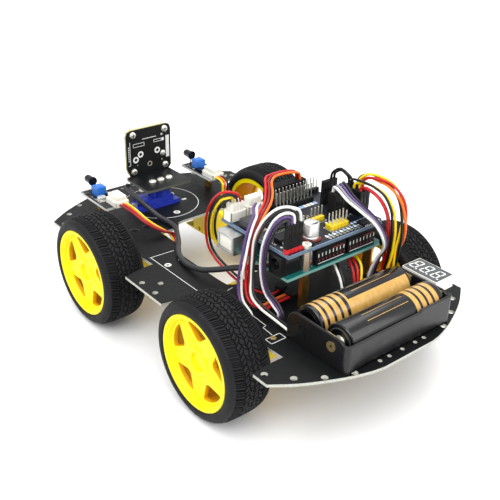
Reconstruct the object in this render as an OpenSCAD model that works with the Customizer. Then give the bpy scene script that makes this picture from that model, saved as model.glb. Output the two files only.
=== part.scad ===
// Four-wheel-drive robot car kit: slotted chassis board on four geared motors,
// battery holder, controller with expansion board, pan servo with ranging head
// and two obstacle modules. Frame: +X forward, +Y left, +Z up, floor at z = 0.

/* [Wheels] */
// tyre outside diameter
tyre_d = 65; // [64:0.5:66]
// tyre width
tyre_w = 26; // [24:0.5:26]
// diameter of the visible rim lip
rim_d = 51; // [49:0.5:51]
// distance between front and rear axles
wheelbase = 110; // [108:1:112]
// overall width over the outer tyre faces
car_w = 154; // [154:1:158]

/* [Chassis] */
// chassis board thickness
plate_t = 1.6; // [1.2:0.1:2]
// gearbox height (the board rests on the gearboxes)
gear_h = 22.2; // [21:0.1:23]
// gearbox thickness along the axle
gear_w = 18.8; // [17:0.1:19]
// distance between gearbox and tyre
gear_gap = 10; // [9:0.5:10]
// output shaft diameter
shaft_d = 5.4; // [5:0.1:5.8]

/* [Electronics] */
// height of the brass standoffs under the controller
standoff_h = 20; // [19:0.5:21]
// gap between controller and expansion board
stack_h = 11.2; // [11:0.1:12]
// height of the standoffs under the obstacle modules
ir_h = 10; // [9.5:0.1:10.5]
// jumper lead diameter
lead_d = 1.4; // [1.2:0.1:1.4]
// ranging head cable diameter
cable_d = 3.2; // [2.6:0.1:3.2]

/* [Hidden] */
$fn = 48;
tyre_r = tyre_d/2;
half_w = car_w/2;
y_in = half_w - tyre_w;
gb_y1 = y_in - gear_gap;
hub_y = gb_y1 + 3.4;
gb_y0 = gb_y1 - gear_w;
pz0 = tyre_r + gear_h/2;
pz1 = pz0 + plate_t;
ax = wheelbase/2;
uz0 = pz1 + standoff_h;
uz1 = uz0 + 1.6;
ez0 = uz1 + stack_h;
ez1 = ez0 + 1.6;
bx0 = -65.4;
bx1 = -12.1;
by0 = -42.3;
by1 = 26.3;
pan_x = 86;
hz0 = pz1 + 14;
hz1 = hz0 + 1.6;
iz0 = pz1 + ir_h;
iz1 = iz0 + 1.6;
corners = [[1,1],[1,-1],[-1,1],[-1,-1]];
black = [0.06,0.06,0.07];
yellow = [0.98,0.86,0.05];
white = [0.93,0.92,0.88];
steel = [0.75,0.76,0.78];
brass = [0.78,0.62,0.28];

// ---- shared helpers ----
function cr(a,b,c,d,t) = 0.5*(2*b + (c-a)*t + (2*a-5*b+4*c-d)*t*t + (3*b-a-3*c+d)*t*t*t);
function smooth(P,n) = [for (i=[0:len(P)-2]) for (j=[0:n-1])
  cr(P[max(i-1,0)],P[i],P[i+1],P[min(i+2,len(P)-1)],j/n), P[len(P)-1]];
function unit(v) = v/norm(v);
function tang(P,i) = unit(P[min(i+1,len(P)-1)] - P[max(i-1,0)]);
function perp(t) = unit(cross(t, abs(t[2])<0.9 ? [0,0,1] : [1,0,0]));
function carry(u,t) = unit(u - t*(u*t));
// round lead swept along a smooth route
module lead(P, d=lead_d, n=3, s=8) {
  Q = smooth(P,n);
  m = len(Q);
  U = [for (i=0, u=perp(tang(Q,0)); i<m; i=i+1, u=carry(u,tang(Q,min(i,m-1)))) u];
  pts = [for (i=[0:m-1]) let (t=tang(Q,i), v=cross(t,U[i])) for (k=[0:s-1])
    Q[i] + d/2*(cos(360*k/s)*U[i] + sin(360*k/s)*v)];
  faces = concat([[for (k=[0:s-1]) k]],
    [for (i=[0:m-2]) for (k=[0:s-1]) [i*s+k, (i+1)*s+k, (i+1)*s+(k+1)%s, i*s+(k+1)%s]],
    [[for (k=[s-1:-1:0]) (m-1)*s+k]]);
  polyhedron(pts, faces, convexity=6);
}
module box(x0,x1,y0,y1,z0,z1) { translate([x0,y0,z0]) cube([x1-x0,y1-y0,z1-z0]); }
// cylinder along Y from y0 to y1
module ycyl(x,z,r,y0,y1) { translate([x,y0,z]) rotate([-90,0,0]) cylinder(r=r,h=y1-y0); }
module xcyl(y,z,r,x0,x1) { translate([x0,y,z]) rotate([0,90,0]) cylinder(r=r,h=x1-x0); }
module zcyl(x,y,r,z0,z1) { translate([x,y,z0]) cylinder(r=r,h=z1-z0); }
// revolve a radius/axial profile about the Y axis through x, z
module yrev(x,z,side) { translate([x,0,z]) scale([1,side,1]) rotate([-90,0,0]) rotate_extrude($fn=96) children(); }
module rbox(x0,x1,y0,y1,z0,z1,r) {
  translate([0,0,z0]) linear_extrude(z1-z0) union() {
    translate([x0+r,y0]) square([x1-x0-2*r,y1-y0]);
    translate([x0,y0+r]) square([x1-x0,y1-y0-2*r]);
    for (x=[x0+r,x1-r], y=[y0+r,y1-r]) translate([x,y]) circle(r=r,$fn=32);
  }
}

// ---- chassis board ----
function edge_q() = concat([[124,0]], smooth([[124,17],[122.6,25],[118.6,37.4],[112,52],[107,60.6],[101,69]],3),
  [[91.6,69],[90.4,62],[90,56.2],[90,49.6]], smooth([[81,50.2],[76,49.8],[70,47.6],[64,46]],3),
  smooth([[46,46],[40,47.6],[34,49.8],[29,50.2]],3), [[20,49.6],[19.8,56],[18.8,62],[17.5,69],[0,69]]);
function rev(v) = [for (i=[len(v)-1:-1:0]) v[i]];
function plate_pts() = let (q=edge_q())
  concat(q, rev([for (p=q) [-p[0],p[1]]]), [for (p=q) [-p[0],-p[1]]], rev([for (p=q) [p[0],-p[1]]]));
edge_holes = [[94.7,65],[105,56.4],[113,45],[118.8,31.6]];
module plate_holes() {
  for (s=corners, h=edge_holes) translate([s[0]*h[0],s[1]*h[1]]) circle(d=3.4,$fn=24);
  for (y=[-15.6,-9.2,0,9.2,15.6], s=[-1,1]) translate([s*119.6,y]) circle(d=2.2,$fn=24);
  for (s=[-1,1], h=[[6.4,65.4],[0,57.8],[-6.4,65.4]]) translate([h[0],s*h[1]]) circle(d=3.2,$fn=24);
  for (s=[-1,1]) {
    translate([-75.5,s*43.1]) circle(d=2.2,$fn=24);
    translate([14.2,s*43.4]) circle(d=2,$fn=24);
    translate([14.9,s*33.6]) circle(d=2,$fn=24);
  }
  polygon([[50,24.6],[34,24.6],[50,14.4]]);
  translate([67.7,0.4]) circle(d=2.4,$fn=24);
  translate([79.7,-5.7]) square([12.6,23.2]);
  polygon(smooth([[55.6,5],[54.6,8],[52,10],[22,29.4],[18,30.6],[-18,30.6],[-23,29],[-25,25.4],[-24,20],[-21.6,14],[-21,8],[-21,-22],[-19,-27],[-14,-29],[48,-29],[54,-27],[55.8,-22],[55.6,5]],2));
  for (p=motor_holes) translate(p) circle(d=3,$fn=24);
  for (p=standoffs) translate(p) circle(d=3.2,$fn=24);
  for (s=[-1,1]) translate([90,s*41]) circle(d=3.2,$fn=24);
}
standoffs = [[-62.8,12.4],[-57.8,-39.7],[-29.8,-39.7]];
// two screws into the top of each gearbox
motor_holes = [for (x=[ax,-ax], s=[-1,1], y=[gb_y0+4.8,gb_y0+14]) [x+6,s*y]];
module chassis_plate() color(black) difference() {
  translate([0,0,pz0]) linear_extrude(plate_t) difference() { polygon(plate_pts()); plate_holes(); }
  for (p=motor_holes) zcyl(p[0],p[1],3,pz1-0.9,pz1+1);
}
module motor_screws() color([0.12,0.12,0.13]) for (p=motor_holes) difference() {
  union() { zcyl(p[0],p[1],1.2,pz0-4,pz1-0.4); zcyl(p[0],p[1],2.8,pz1-0.8,pz1); }
  box(p[0]-1.9,p[0]+1.9,p[1]-0.3,p[1]+0.3,pz1-0.4,pz1+1);
  box(p[0]-0.3,p[0]+0.3,p[1]-1.9,p[1]+1.9,pz1-0.4,pz1+1);
}

// ---- geared motors, all with the motor end towards the front ----
module each_motor() for (x=[0,-wheelbase], s=[-1,1]) translate([x,0,0]) scale([1,s,1]) children();
module gear_body(y0,y1) difference() {
  union() {
    box(ax-7,ax+26.5,y0,y1,tyre_r-gear_h/2,pz0);
    box(ax-11,ax-7,y0,y1,tyre_r-gear_h/2+4,pz0-4);
    for (z=[tyre_r-gear_h/2+4,pz0-4]) ycyl(ax-7,z,4,y0,y1);
    box(ax+26.5,ax+35,y0,y1,tyre_r-gear_h/2,tyre_r-10.1);
    box(ax+26.5,ax+35,y0,y1,tyre_r+10.1,pz0);
  }
  for (z=[-8.75,8.75]) ycyl(ax+20,tyre_r+z,1.5,y0-1,y1+1);
}
module gearbox_outer() color(yellow) each_motor() difference() {
  union() { gear_body(gb_y0+gear_w/2,gb_y1); ycyl(ax,tyre_r,4.6,gb_y1,gb_y1+1.2); ycyl(ax+11,tyre_r,2,gb_y1,gb_y1+0.8); }
  ycyl(ax,tyre_r,shaft_d/2+0.05,gb_y0,gb_y1+3);
  ycyl(ax,tyre_r,7,gb_y0,gb_y1-3);
  zcyl(ax+6,gb_y0+14,1.25,pz0-4.2,pz0+1);
}
module gearbox_inner() color(yellow) each_motor() difference() {
  gear_body(gb_y0,gb_y0+gear_w/2);
  ycyl(ax,tyre_r,shaft_d/2+0.05,gb_y0+1.4,gb_y1);
  ycyl(ax,tyre_r,7,gb_y0+3.4,gb_y1);
  zcyl(ax+6,gb_y0+4.8,1.25,pz0-4.2,pz0+1);
}
module motor_cans() color(steel) each_motor() translate([ax+26.5,gb_y0+gear_w/2,tyre_r]) rotate([0,90,0])
  linear_extrude(19.5) intersection() { circle(r=10,$fn=64); square([30,15.2],center=true); }
module motor_caps() color(white) each_motor() translate([0,gb_y0+gear_w/2,tyre_r]) {
  translate([ax+46,0,0]) rotate([0,90,0]) linear_extrude(4) intersection() { circle(r=9.7,$fn=64); square([30,14.8],center=true); }
  translate([ax+50,0,0]) rotate([0,90,0]) cylinder(r=3,h=2);
}

// ---- wheels ----
module tyre(sx,sy) color([0.09,0.09,0.1]) yrev(sx*ax,tyre_r,sy) polygon([
  [25.6,y_in+0.6],[26.8,y_in+0.2],[29.4,y_in],[31.1,y_in+1.2],[32,y_in+3.2],[tyre_r,y_in+6.5],
  [tyre_r,half_w-6.5],[32,half_w-3.2],[31.1,half_w-1.2],[29.4,half_w],[26.8,half_w-0.2],[25.6,half_w-0.6],
  [25.6,half_w-3],[24.5,half_w-3.4],[24.5,y_in+3.4],[25.6,y_in+3]]);
module spoke_gap() polygon([[12.2,-1.2],[18.7,-8.4],[20,-6.4],[21,-3],[21.2,0],[21,3],[20,6.4],[18.7,8.4],[12.2,1.2]]);
module rim(sx,sy) color(yellow) difference() {
  union() {
    yrev(sx*ax,tyre_r,sy) polygon([[22.6,y_in+0.8],[rim_d/2,y_in+0.8],[rim_d/2,y_in+2.8],[24.5,y_in+3.4],
      [24.5,half_w-3.4],[rim_d/2,half_w-2.8],[rim_d/2,half_w-0.5],[23.6,half_w-0.5],[23.2,half_w-1],[22.3,half_w-3.4],[21.6,half_w-3.9],[21.6,half_w-7],[22.6,half_w-8]]);
    yrev(sx*ax,tyre_r,sy) polygon([[0,half_w-4.7],[4.4,half_w-4.7],[4.8,half_w-3.9],[21.7,half_w-3.9],[21.7,half_w-6.9],[8,half_w-7.1],[7,half_w-9],[6.2,hub_y],[0,hub_y]]);
  }
  for (k=[0:4]) translate([sx*ax,0,tyre_r]) rotate([0,72*k-18,0]) scale([1,sy,1]) translate([0,half_w-20,0]) rotate([-90,0,0]) linear_extrude(30) spoke_gap();
  scale([1,sy,1]) ycyl(sx*ax,tyre_r,shaft_d/2+0.02,hub_y-1,y_in+9.5);
}
module shaft(sx,sy) color(white) scale([1,sy,1]) union() {
  difference() {
    ycyl(sx*ax,tyre_r,shaft_d/2,gb_y0+1.8,y_in+9);
    for (q=[-1,1]) translate([sx*ax-5,hub_y,tyre_r+(q>0?1.85:-5.85)]) cube([10,18,4]);
  }
  ycyl(sx*ax,tyre_r,6.5,gb_y0+6,gb_y1-5);
}

// ---- battery holder with two cells across the car ----
hx0 = -118.2;
hx1 = -77.8;
hz = pz1 + 16.3;
cz = pz1 + 1.4 + 9.2;
module battery_holder() color(black) difference() {
  union() {
    box(hx0,hx1,-35.4,35.4,pz1,pz1+1.4);
    box(hx0,hx0+1.5,-36,36,pz1,pz1+14.6);
    box(hx0,hx0+1.5,-36,-12,pz1,pz1+16);
    box(hx1-1.5,hx1,-36,36,pz1,pz1+12);
    for (s=[-1,1]) translate([0,s*36.2-0.8,0]) rotate([90,0,0]) translate([0,0,-1.6]) linear_extrude(1.6) end_shape();
    box((hx0+hx1)/2-0.6,(hx0+hx1)/2+0.6,-35.6,35.6,pz1,pz1+6);
  }
  for (x=[-88.2,-107.8]) ycyl(x,cz,9.25,-34.6,34.6);
  for (s=[-1,1], x=[-88.2,-107.8]) ycyl(x,cz,1.6,s*36.2-3,s*36.2+3);
  for (s=[-1,1], x=[-88.2,-107.8]) box(x-5,x+5,s*35.1-0.3,s*35.1+0.3,pz1+2,hz+1);
}
module end_shape() union() {
  translate([hx0,pz1]) square([hx1-hx0,9.3]);
  translate([hx0+7,pz1]) square([hx1-hx0-14,16.3]);
  translate([hx0+7,pz1+9.3]) circle(r=7);
  translate([hx1-7,pz1+9.3]) circle(r=7);
}
module cell(x,q,c) color(c) scale([1,q,1]) union() {
  ycyl(x,cz,9.1,-32.6,31.4);
  ycyl(x,cz,7.6,31.4,31.8);
  ycyl(x,cz,3,31.8,33.2);
}
module cell_front() cell(-88.2,-1,[0.85,0.65,0.2]);
module cell_rear() cell(-107.8,1,black);
module battery_contacts() color(brass) {
  for (k=[[-88.2,-1],[-107.8,1]]) scale([1,k[1],1]) {
    box(k[0]-4.8,k[0]+4.8,34.9,35.3,pz1+4,pz1+15.6);
    ycyl(k[0],cz,3.6,33.2,34.9);
    box(k[0]-4.8,k[0]+4.8,-35.3,-34.9,pz1+4,pz1+15.6);
    ycyl(k[0],cz,4.6,-34.9,-34.2);
    ycyl(k[0],cz,3.8,-34.2,-33.4);
    ycyl(k[0],cz,3,-33.4,-32.6);
  }
  for (s=[-1,1], x=[-88.2,-107.8]) scale([1,s,1]) difference() {
    union() { ycyl(x,cz,1.5,35.3,37); ycyl(x,cz,2.6,37,37.5); }
    ycyl(x,cz,0.9,36,38);
  }
}

// ---- three-digit display on header sockets ----
module display_socket() color(black) for (y=[-49.9,-43.3]) difference() {
  box(-101.6,-86.6,y-1.25,y+1.25,pz1,pz1+8.5);
  for (k=[0:5]) box(-101.6+1.27+2.5*k-0.4,-101.6+1.27+2.5*k+0.4,y-0.4,y+0.4,pz1+4,pz1+9);
}
module display_body() color(white) union() {
  difference() { box(-105.4,-82.8,-53.7,-39.5,pz1+8.5,pz1+15.4); box(-104.9,-83.3,-53.2,-40,pz1+15,pz1+16); }
  for (y=[-49.9,-43.3], k=[0:5]) zcyl(-101.6+1.27+2.5*k,y,0.25,pz1+5,pz1+8.5);
}
module display_face() color([0.25,0.26,0.27]) box(-104.9,-83.3,-53.2,-40,pz1+15,pz1+15.6);

// ---- controller, expansion board and their parts ----
module hexpost(x,y,z0,z1) difference() {
  translate([x,y,z0]) cylinder(r=2.6,h=z1-z0,$fn=6);
  zcyl(x,y,1.25,z1-6,z1+1);
}
module brass_standoffs() color(brass) {
  for (p=standoffs) { hexpost(p[0],p[1],pz1,uz0); zcyl(p[0],p[1],1.5,pz0,pz1); }
  for (s=[-1,1]) { hexpost(90,s*41,pz1,iz0); zcyl(90,s*41,1.5,pz0,pz1); }
  difference() { translate([-62.8,12.4,uz1]) cylinder(r=2.6,h=stack_h,$fn=6); zcyl(-62.8,12.4,1.25,ez0-5,ez0+1); }
}
module pan_head_screw(x,y,z,d) {
  difference() { zcyl(x,y,2.6,z,z+1.8); box(x-1.7,x+1.7,y-0.3,y+0.3,z+1.1,z+2); box(x-0.3,x+0.3,y-1.7,y+1.7,z+1.1,z+2); }
  zcyl(x,y,1.2,z-d,z);
}
module board_screws() color(steel) {
  for (p=[standoffs[1],standoffs[2]]) pan_head_screw(p[0],p[1],uz1,6);
  pan_head_screw(-62.8,12.4,ez1,5);
  zcyl(-62.8,12.4,1.2,uz0-5,uz1);
  for (s=[-1,1]) pan_head_screw(90,s*41,iz1,5);
}
function uno_pts() = [[bx0,by1],[bx0+53.3,by1],[bx0+53.3,by0+4],[bx0+51.8,by0+2.5],[bx0+40,by0+2.5],[bx0+37.5,by0],[bx0+2.5,by0],[bx0,by0+2.5]];
module controller_board() color([0.05,0.42,0.4]) translate([0,0,uz0]) linear_extrude(1.6) difference() {
  polygon(uno_pts());
  for (p=standoffs) translate(p) circle(d=3.2,$fn=24);
  translate([-14.6,11]) circle(d=3.2,$fn=24);
}
module usb_socket() color(steel) difference() {
  union() { box(-30.6,-17,16.6,32.6,uz1,uz1+10.6); box(-30.2,-17.4,32.6,33,uz1+0.4,uz1+10.2); }
  difference() { box(-29.1,-18.5,24,34,uz1+1.6,uz1+9.2); box(-27,-20.6,23,32,uz1+3.6,uz1+6.8); }
}
module dc_jack() color(black) difference() {
  union() { box(-62.1,-53.2,15.3,28.1,uz1,uz1+6.4); box(-62.1,-53.2,24.6,28.1,uz1+6.4,uz1+10.6); ycyl(-57.65,uz1+6.2,4.4,15.3,25); }
  difference() { ycyl(-57.65,uz1+6.2,3.1,18,29); ycyl(-57.65,uz1+6.2,1,16,27); }
}
module can(x,y,z,r,h) union() { box(x-r-0.2,x+r+0.2,y-r-0.2,y+r+0.2,z,z+1); zcyl(x,y,r,z+1,z+h); }
module board_chips() color([0.1,0.1,0.11]) {
  box(-58,-49.5,-36,-1,uz1+1,uz1+4.6);
  for (k=[0:13], x=[-58,-49.7]) box(x,x+0.2,-35.2+2.54*k,-34.5+2.54*k,uz1,uz1+1);
  box(-33,-26,4,11,uz1,uz1+1.2);
  box(-46,-40,14,19,uz1,uz1+1.6);
  box(-42,-34,-8,4,ez1,ez1+1.8);
  box(-42,-34.6,8,18,ez1,ez1+1.8);
  box(-64.4,-59,-37,-27,ez1,ez1+1.6);
  box(-53,-48,13,21,ez1,ez1+2.2);
  box(-33.6,-24.4,14.4,24.2,ez1,ez1+4.3);
}
// socket strips on the controller with the upper board's pin strips on them
module stack_headers() color(black)
  for (x=[-64.2,-15.9], y=[[-37,-16.7],[-14.6,5.8]]) difference() {
    box(x,x+2.5,y[0],y[1],uz1,ez0);
    for (q=[0,2.3]) box(x-0.2+q,x+0.4+q,y[0]-1,y[1]+1,uz1+8.4,uz1+8.8);
  }
module expansion_board() color([0.08,0.1,0.13]) translate([0,0,ez0]) linear_extrude(1.6) difference() {
  polygon(uno_pts());
  translate([-14.6,13]) circle(d=3.2,$fn=24);
  translate([-62.8,12.4]) circle(d=3.2,$fn=24);
}
// pin block: base strip and pins, nx by ny on a 2.54 grid
module pins(x,y,nx,ny,h=8.6) {
  translate([x,y,ez1]) cube([2.54*nx,2.54*ny,2.5]);
  for (i=[0:nx-1], j=[0:ny-1]) translate([x+2.54*i+0.95,y+2.54*j+0.95,ez1+2.5]) cube([0.64,0.64,h-2.5]);
}
module headers_yellow() color([0.9,0.75,0.1]) { pins(-58,-22.6,2,5); pins(-46,-16.4,1,4); }
module headers_red() color([0.8,0.08,0.1]) translate([-63.6,15.3,ez1]) cube([2.9,10.9,2.5]);
module headers_black() color(black) { pins(-21,-28.6,1,11,11); pins(-25,-28.6,1,11,11); pins(-17.4,-40,1,4,10); pins(-52,0,2,4); }
module can_capacitors() color([0.8,0.8,0.78]) {
  can(-57.6,4.6,ez1,4,9.6);
  can(-57.8,5.2,uz1,3.1,7.6);
  can(-45.6,22.8,uz1,3.1,7.6);
}
// white lead sockets with their plugs
module xh(x0,x1,y0,y1,z,h) union() { box(x0,x1,y0,y1,z,z+h*0.55); box(x0+0.7,x1-0.7,y0+0.7,y1-0.7,z+h*0.55,z+h); }
module lead_sockets() color(white) {
  xh(-20,-13,15.6,26,ez1,10);
  xh(-19.6,-12.8,3.2,13.8,ez1,10);
  for (s=[-1,1]) scale([1,s,1]) xh(72.6,85,31.8,41,iz1,6.6);
}
module jumper_housings() color(black) {
  box(-17.8,-12.4,-28.8,-1.6,ez1,ez1+11);
  box(-32.6,-30,-38.4,-28,ez1,ez1+14);
  box(-48.8,-43.2,-33.6,-20.6,ez1,ez1+14);
  box(-54,-40,-41.6,-34,ez1,ez1+14);
  box(-63.4,-60.9,15.4,26,ez1+2.5,ez1+15.4);
  box(-47.4,-42.8,9,14,pz1,pz1+3.8);
  box(-56,-49.6,9,14,pz1,pz1+3.8);
}
// push switch: frame with a guided cap
module button_base() color(steel) difference() {
  box(-41.2,-35.2,19,25,ez1,ez1+3);
  zcyl(-38.2,22,1.75,ez1+1.6,ez1+4);
}
module reset_button() color([0.7,0.12,0.1]) zcyl(-38.2,22,1.7,ez1+2.1,ez1+4.2);

// ---- pan servo and ranging head ----
sz = pz1 + 6.6;
module servo_case() color([0.08,0.15,0.75]) difference() {
  union() {
    box(pan_x-6.1,pan_x+6.1,-5.5,17.3,sz-22.5,sz);
    box(pan_x-6.1,pan_x+6.1,-10.2,22,pz1,pz1+2.5);
    zcyl(pan_x,0,5.8,sz,sz+4);
    zcyl(pan_x,6.4,2.9,sz,sz+4);
  }
  zcyl(pan_x,0,2.5,sz-6,sz+5);
  for (y=[-7.9,19.7]) zcyl(pan_x,y,1.05,pz1-1,pz1+4);
}
module servo_screws() color(steel) for (y=[-7.9,19.7]) difference() {
  union() { zcyl(pan_x,y,1,pz1,pz1+2.5); zcyl(pan_x,y,1.9,pz1+2.5,pz1+4); }
  box(pan_x-1.3,pan_x+1.3,y-0.25,y+0.25,pz1+3.3,pz1+5);
}
module servo_horn() color(white) union() {
  zcyl(pan_x,0,2.44,sz-5,sz+4.4);
  zcyl(pan_x,0,3.6,sz+4.4,hz0);
  translate([0,0,sz+5.2]) linear_extrude(hz0-sz-5.2) union() { translate([pan_x-2,-14]) square([4,28]); for (y=[-14,14]) translate([pan_x,y]) circle(r=2); }
}
module pan_bracket() color(black) difference() {
  rbox(pan_x-11,pan_x+15.6,-16.4,16.4,hz0,hz1,2);
  for (y=[-6.2,0,6.2]) zcyl(pan_x,y,1.1,hz0-1,hz1+1);
}
bdx = pan_x + 15.6;
// the head board sits a little to the right of the pan axis
hy = -1.7;
function head_pts() = [for (p=[[-14.6,0.6],[14,0.6],[16.9,7],[16.9,28.8],[15.9,31.4],[13.4,32.4],[-13.4,32.4],[-15.9,31.4],[-16.9,28.8],[-16.9,3.4]]) [p[0]+hy,hz0+p[1]]];
module slab(x0,x1,P) translate([x0,0,0]) rotate([90,0,90]) linear_extrude(x1-x0) polygon(P);
head_holes = [[-13.6,29.2],[10.2,29.2],[-13.8,4.4],[10.1,4.3]];
module head_board() color(black) difference() {
  slab(bdx,bdx+1.6,head_pts());
  for (h=head_holes) xcyl(h[0],hz0+h[1],1.3,bdx-1,bdx+3);
}
module head_spacers() color(brass) for (h=head_holes) difference() {
  xcyl(h[0],hz0+h[1],2.2,bdx+1.6,bdx+3.2);
  xcyl(h[0],hz0+h[1],1.3,bdx+1,bdx+4);
}
module sensor_board() color([0.08,0.1,0.12]) difference() {
  slab(bdx+3.2,bdx+4.8,[for (p=[[-18.2,2],[12.6,2],[12.6,30],[10.8,31.6],[-16.4,31.6],[-18.2,30]]) [p[0],hz0+p[1]]]);
  for (h=head_holes) xcyl(h[0],hz0+h[1],1.3,bdx+3,bdx+6);
}
module sensor_cans() color(steel) for (y=[-8,8]) difference() {
  xcyl(y+hy,hz0+18.4,5,bdx+4.8,bdx+8.8);
  xcyl(y+hy,hz0+18.4,4.2,bdx+8,bdx+9.6);
}
module head_screws() color(steel) {
  for (h=head_holes) difference() {
    union() { xcyl(h[0],hz0+h[1],1.2,bdx,bdx+4.8); xcyl(h[0],hz0+h[1],2.2,bdx-1.4,bdx); }
    box(bdx-2,bdx-0.7,h[0]-1.5,h[0]+1.5,hz0+h[1]-0.25,hz0+h[1]+0.25);
  }
  for (y=[-6.2,0,6.2]) union() { zcyl(pan_x,y,1,hz0,hz1); zcyl(pan_x,y,2.1,hz1,hz1+1.5); }
}

// ---- obstacle modules ----
module ir_boards() color([0.1,0.12,0.13]) for (s=[-1,1]) scale([1,s,1]) difference() {
  box(76,108,31.6,46,iz0,iz1);
  zcyl(90,41,1.6,iz0-1,iz1+1);
}
module ir_trimmers() color([0.15,0.35,0.85]) for (s=[-1,1]) scale([1,s,1])
  difference() { box(94.4,101,35,41.6,iz1,iz1+5.6); zcyl(97.7,38.3,2.3,iz1+4.2,iz1+7); }
module ir_leds() color(black) for (s=[-1,1]) scale([1,s,1]) {
  for (y=[38.2]) union() { xcyl(y,iz1+6,2.5,106,111); translate([111,y,iz1+6]) sphere(r=2.5); xcyl(y,iz1+6,2.9,105,106); box(104.6,105,y-1.6,y-1,iz1,iz1+6.4); box(104.6,105,y+1,y+1.6,iz1,iz1+6.4); box(104.6,105.2,y-1.6,y+1.6,iz1+5.4,iz1+6.4); }
  box(88.6,93.6,33,36.6,iz1,iz1+1.6);
}
module ir_rotor(s) color(brass) scale([1,s,1]) difference() { zcyl(97.7,38.3,2.22,iz1+4.25,iz1+6); box(95.9,99.5,38.05,38.55,iz1+5.4,iz1+7); }

// ---- leads: each run is a route and the step from one lead to the next ----
// heights of the routes follow the three decks
function deck(z) = z < 45.2 ? z+pz1-45.2 : lookup(z,[[45.2,pz1],[65.2,uz0],[79.6,ez1],[119.6,ez1+40]]);
function follow(p) = [p[0],p[1],deck(p[2])];
module run(P,S,n) for (k=[0:n-1]) lead([for (i=[0:len(P)-1]) follow(P[i]+k*S[i])],lead_d,2);
a_p = [[-18,18.4,89.6],[-20,22,95],[-19,27,97.4],[-14,29.6,95],[-8,30,88],[-2,28.6,78],[1,27,68],[0,26,58],[-5,25,52],[-16,26,50],[-28,27,49],[-39,25,48],[-46,20,47],[-46,14,47]];
a_s = [[1,1.4,0],[0.9,1.1,-1],[0.3,0.2,-1.8],[-0.6,-0.4,-1.6],[-1,-0.8,-1.2],[-1.1,-1.2,-0.4],[-1.1,-1.3,0],[-1,-1.4,0.2],[-0.4,-1.6,0.6],[0,-1.6,0.8],[0,-1.6,0.8],[0.8,-1.5,0.6],[1.6,-0.8,0.4],[1.8,0,0]];
a2_p = [[-16,21.2,89.6],[-18.2,24.2,93],[-18.4,27.4,93.8],[-15.2,28.8,91.8],[-10,28.4,85.6],[-4.2,26.2,77.2],[-1.2,24.4,68],[-2,22.4,60],[-10,19,57],[-24,14,59],[-36,10,62],[-39,9,65.2]];
a2_s = [[1,1.4,0],[0.9,1.1,-1],[0.3,0.2,-1.8],[-0.6,-0.4,-1.6],[-1,-0.8,-1.2],[-1.1,-1.2,-0.4],[-1.1,-1.3,0],[-1,-1.4,0.4],[0.4,-1.8,0.2],[0.4,-1.8,0],[0,-1.8,0],[0,-1.8,0]];
b_p = [[-16.6,-25,90.6],[-17,-23,95],[-17,-14,97],[-17,-6,97],[-19.4,-1.6,95.4],[-24.6,2,92.4],[-29.8,7.7,89.8],[-35.9,17.4,87.4],[-41.6,25.9,84.6],[-44.1,30,77],[-44,30.8,68],[-44,31.6,59],[-47.4,33.4,52],[-50.6,33.6,48],[-52,30,47],[-51.4,24,47],[-51,14,47]];
b_s = [[1.6,0,0],[1.6,0,0],[1.6,0,0],[1.6,0,0],[1.8,0.6,0.9],[1.6,1.1,0.6],[1.4,1,0],[1.3,1,0],[1.3,0.9,0.6],[1.4,0.8,0.2],[0.9,1.4,0],[0,1.7,0],[0,1.7,0.3],[-0.8,1.3,0.6],[-1.7,0.4,0],[-1.7,0,0],[-1.7,0,0]];
c_p = [[-62.2,16.4,95],[-62,18,101],[-59,23,103],[-55,27,101],[-50,30,94],[-46.4,32,84],[-45.4,32.4,72],[-46.6,33.6,62],[-51,37,55],[-58,37,51],[-67,35.4,48.4],[-77.8,35,47]];
c_s = [[0,2.2,0],[0.2,1.8,-0.8],[0,0.6,-1.8],[-1,0,-1.6],[-1.5,-0.4,-1],[-1.8,-0.2,-0.2],[-1.8,0,0],[-1.7,0.2,0.6],[-1.2,-0.6,1.2],[0,-1.4,1.2],[0,-2,0],[0,-2,0]];
c2_p = [[-62.2,20.8,95],[-62.2,21.6,99.6],[-60.6,25.6,101],[-56.8,28.6,97],[-52.6,29.8,88],[-49.8,30.2,78],[-49.8,30.4,66],[-53,30.4,56],[-59,29.4,50],[-62.6,29,47.4],[-62.8,29,45.2]];
c2_s = [[0,2,0],[0,1.4,-1.3],[-0.4,0.6,-1.9],[-1.3,0.2,-1.5],[-1.7,0,-0.5],[-1.8,0,0],[-1.8,0,0],[-1.6,-0.2,0.6],[-1.2,-0.6,1.1],[-1.7,-0.2,0.4],[-1.8,0,0]];
d_p = [[-19.6,6.4,84.6],[-22.8,9.4,87.4],[-28,15.6,88.8],[-35.4,21.8,88.6],[-40.2,27.6,87.9],[-42.2,31.2,84.2],[-42.8,33.4,78.2],[-43.2,34.8,72.9],[-43.6,36.8,65.4],[-43,37,57.8],[-46.4,38.6,50.6],[-54.6,40,47.6],[-56,40.2,45.2]];
d_s = [[0,2,0],[0.7,1.9,0.2],[1,1.4,0.3],[1.1,1.3,0.3],[1.2,1.2,0.4],[1.3,1.2,0.2],[1.3,1.2,0],[1.3,1.2,0],[1.3,1.1,0],[1.1,1.3,0.4],[0.4,1.6,0.6],[0,1.8,0],[0,1.8,0]];
g_p = [[-44.6,-22.6,93.6],[-46,-22,97],[-52,-19.6,97.4],[-59,-18.6,95],[-66.4,-21,91],[-73,-25.4,85],[-76.4,-28.6,77.5],[-75.2,-31.6,70],[-70.8,-32.4,62.4],[-68,-32,54.5],[-67,-31.6,49],[-66.8,-31.4,45.2]];
g_s = [[0,-2.4,0],[0.1,-2.2,0.3],[0.4,-2,0.5],[0.6,-1.8,0.5],[0.9,-1.4,0.5],[1.1,-1.2,0.5],[0.9,-1.5,0.2],[0.5,-1.7,0],[0.4,-1.7,0],[0.2,-1.75,0],[0.2,-1.75,0],[0.2,-1.75,0]];
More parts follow.
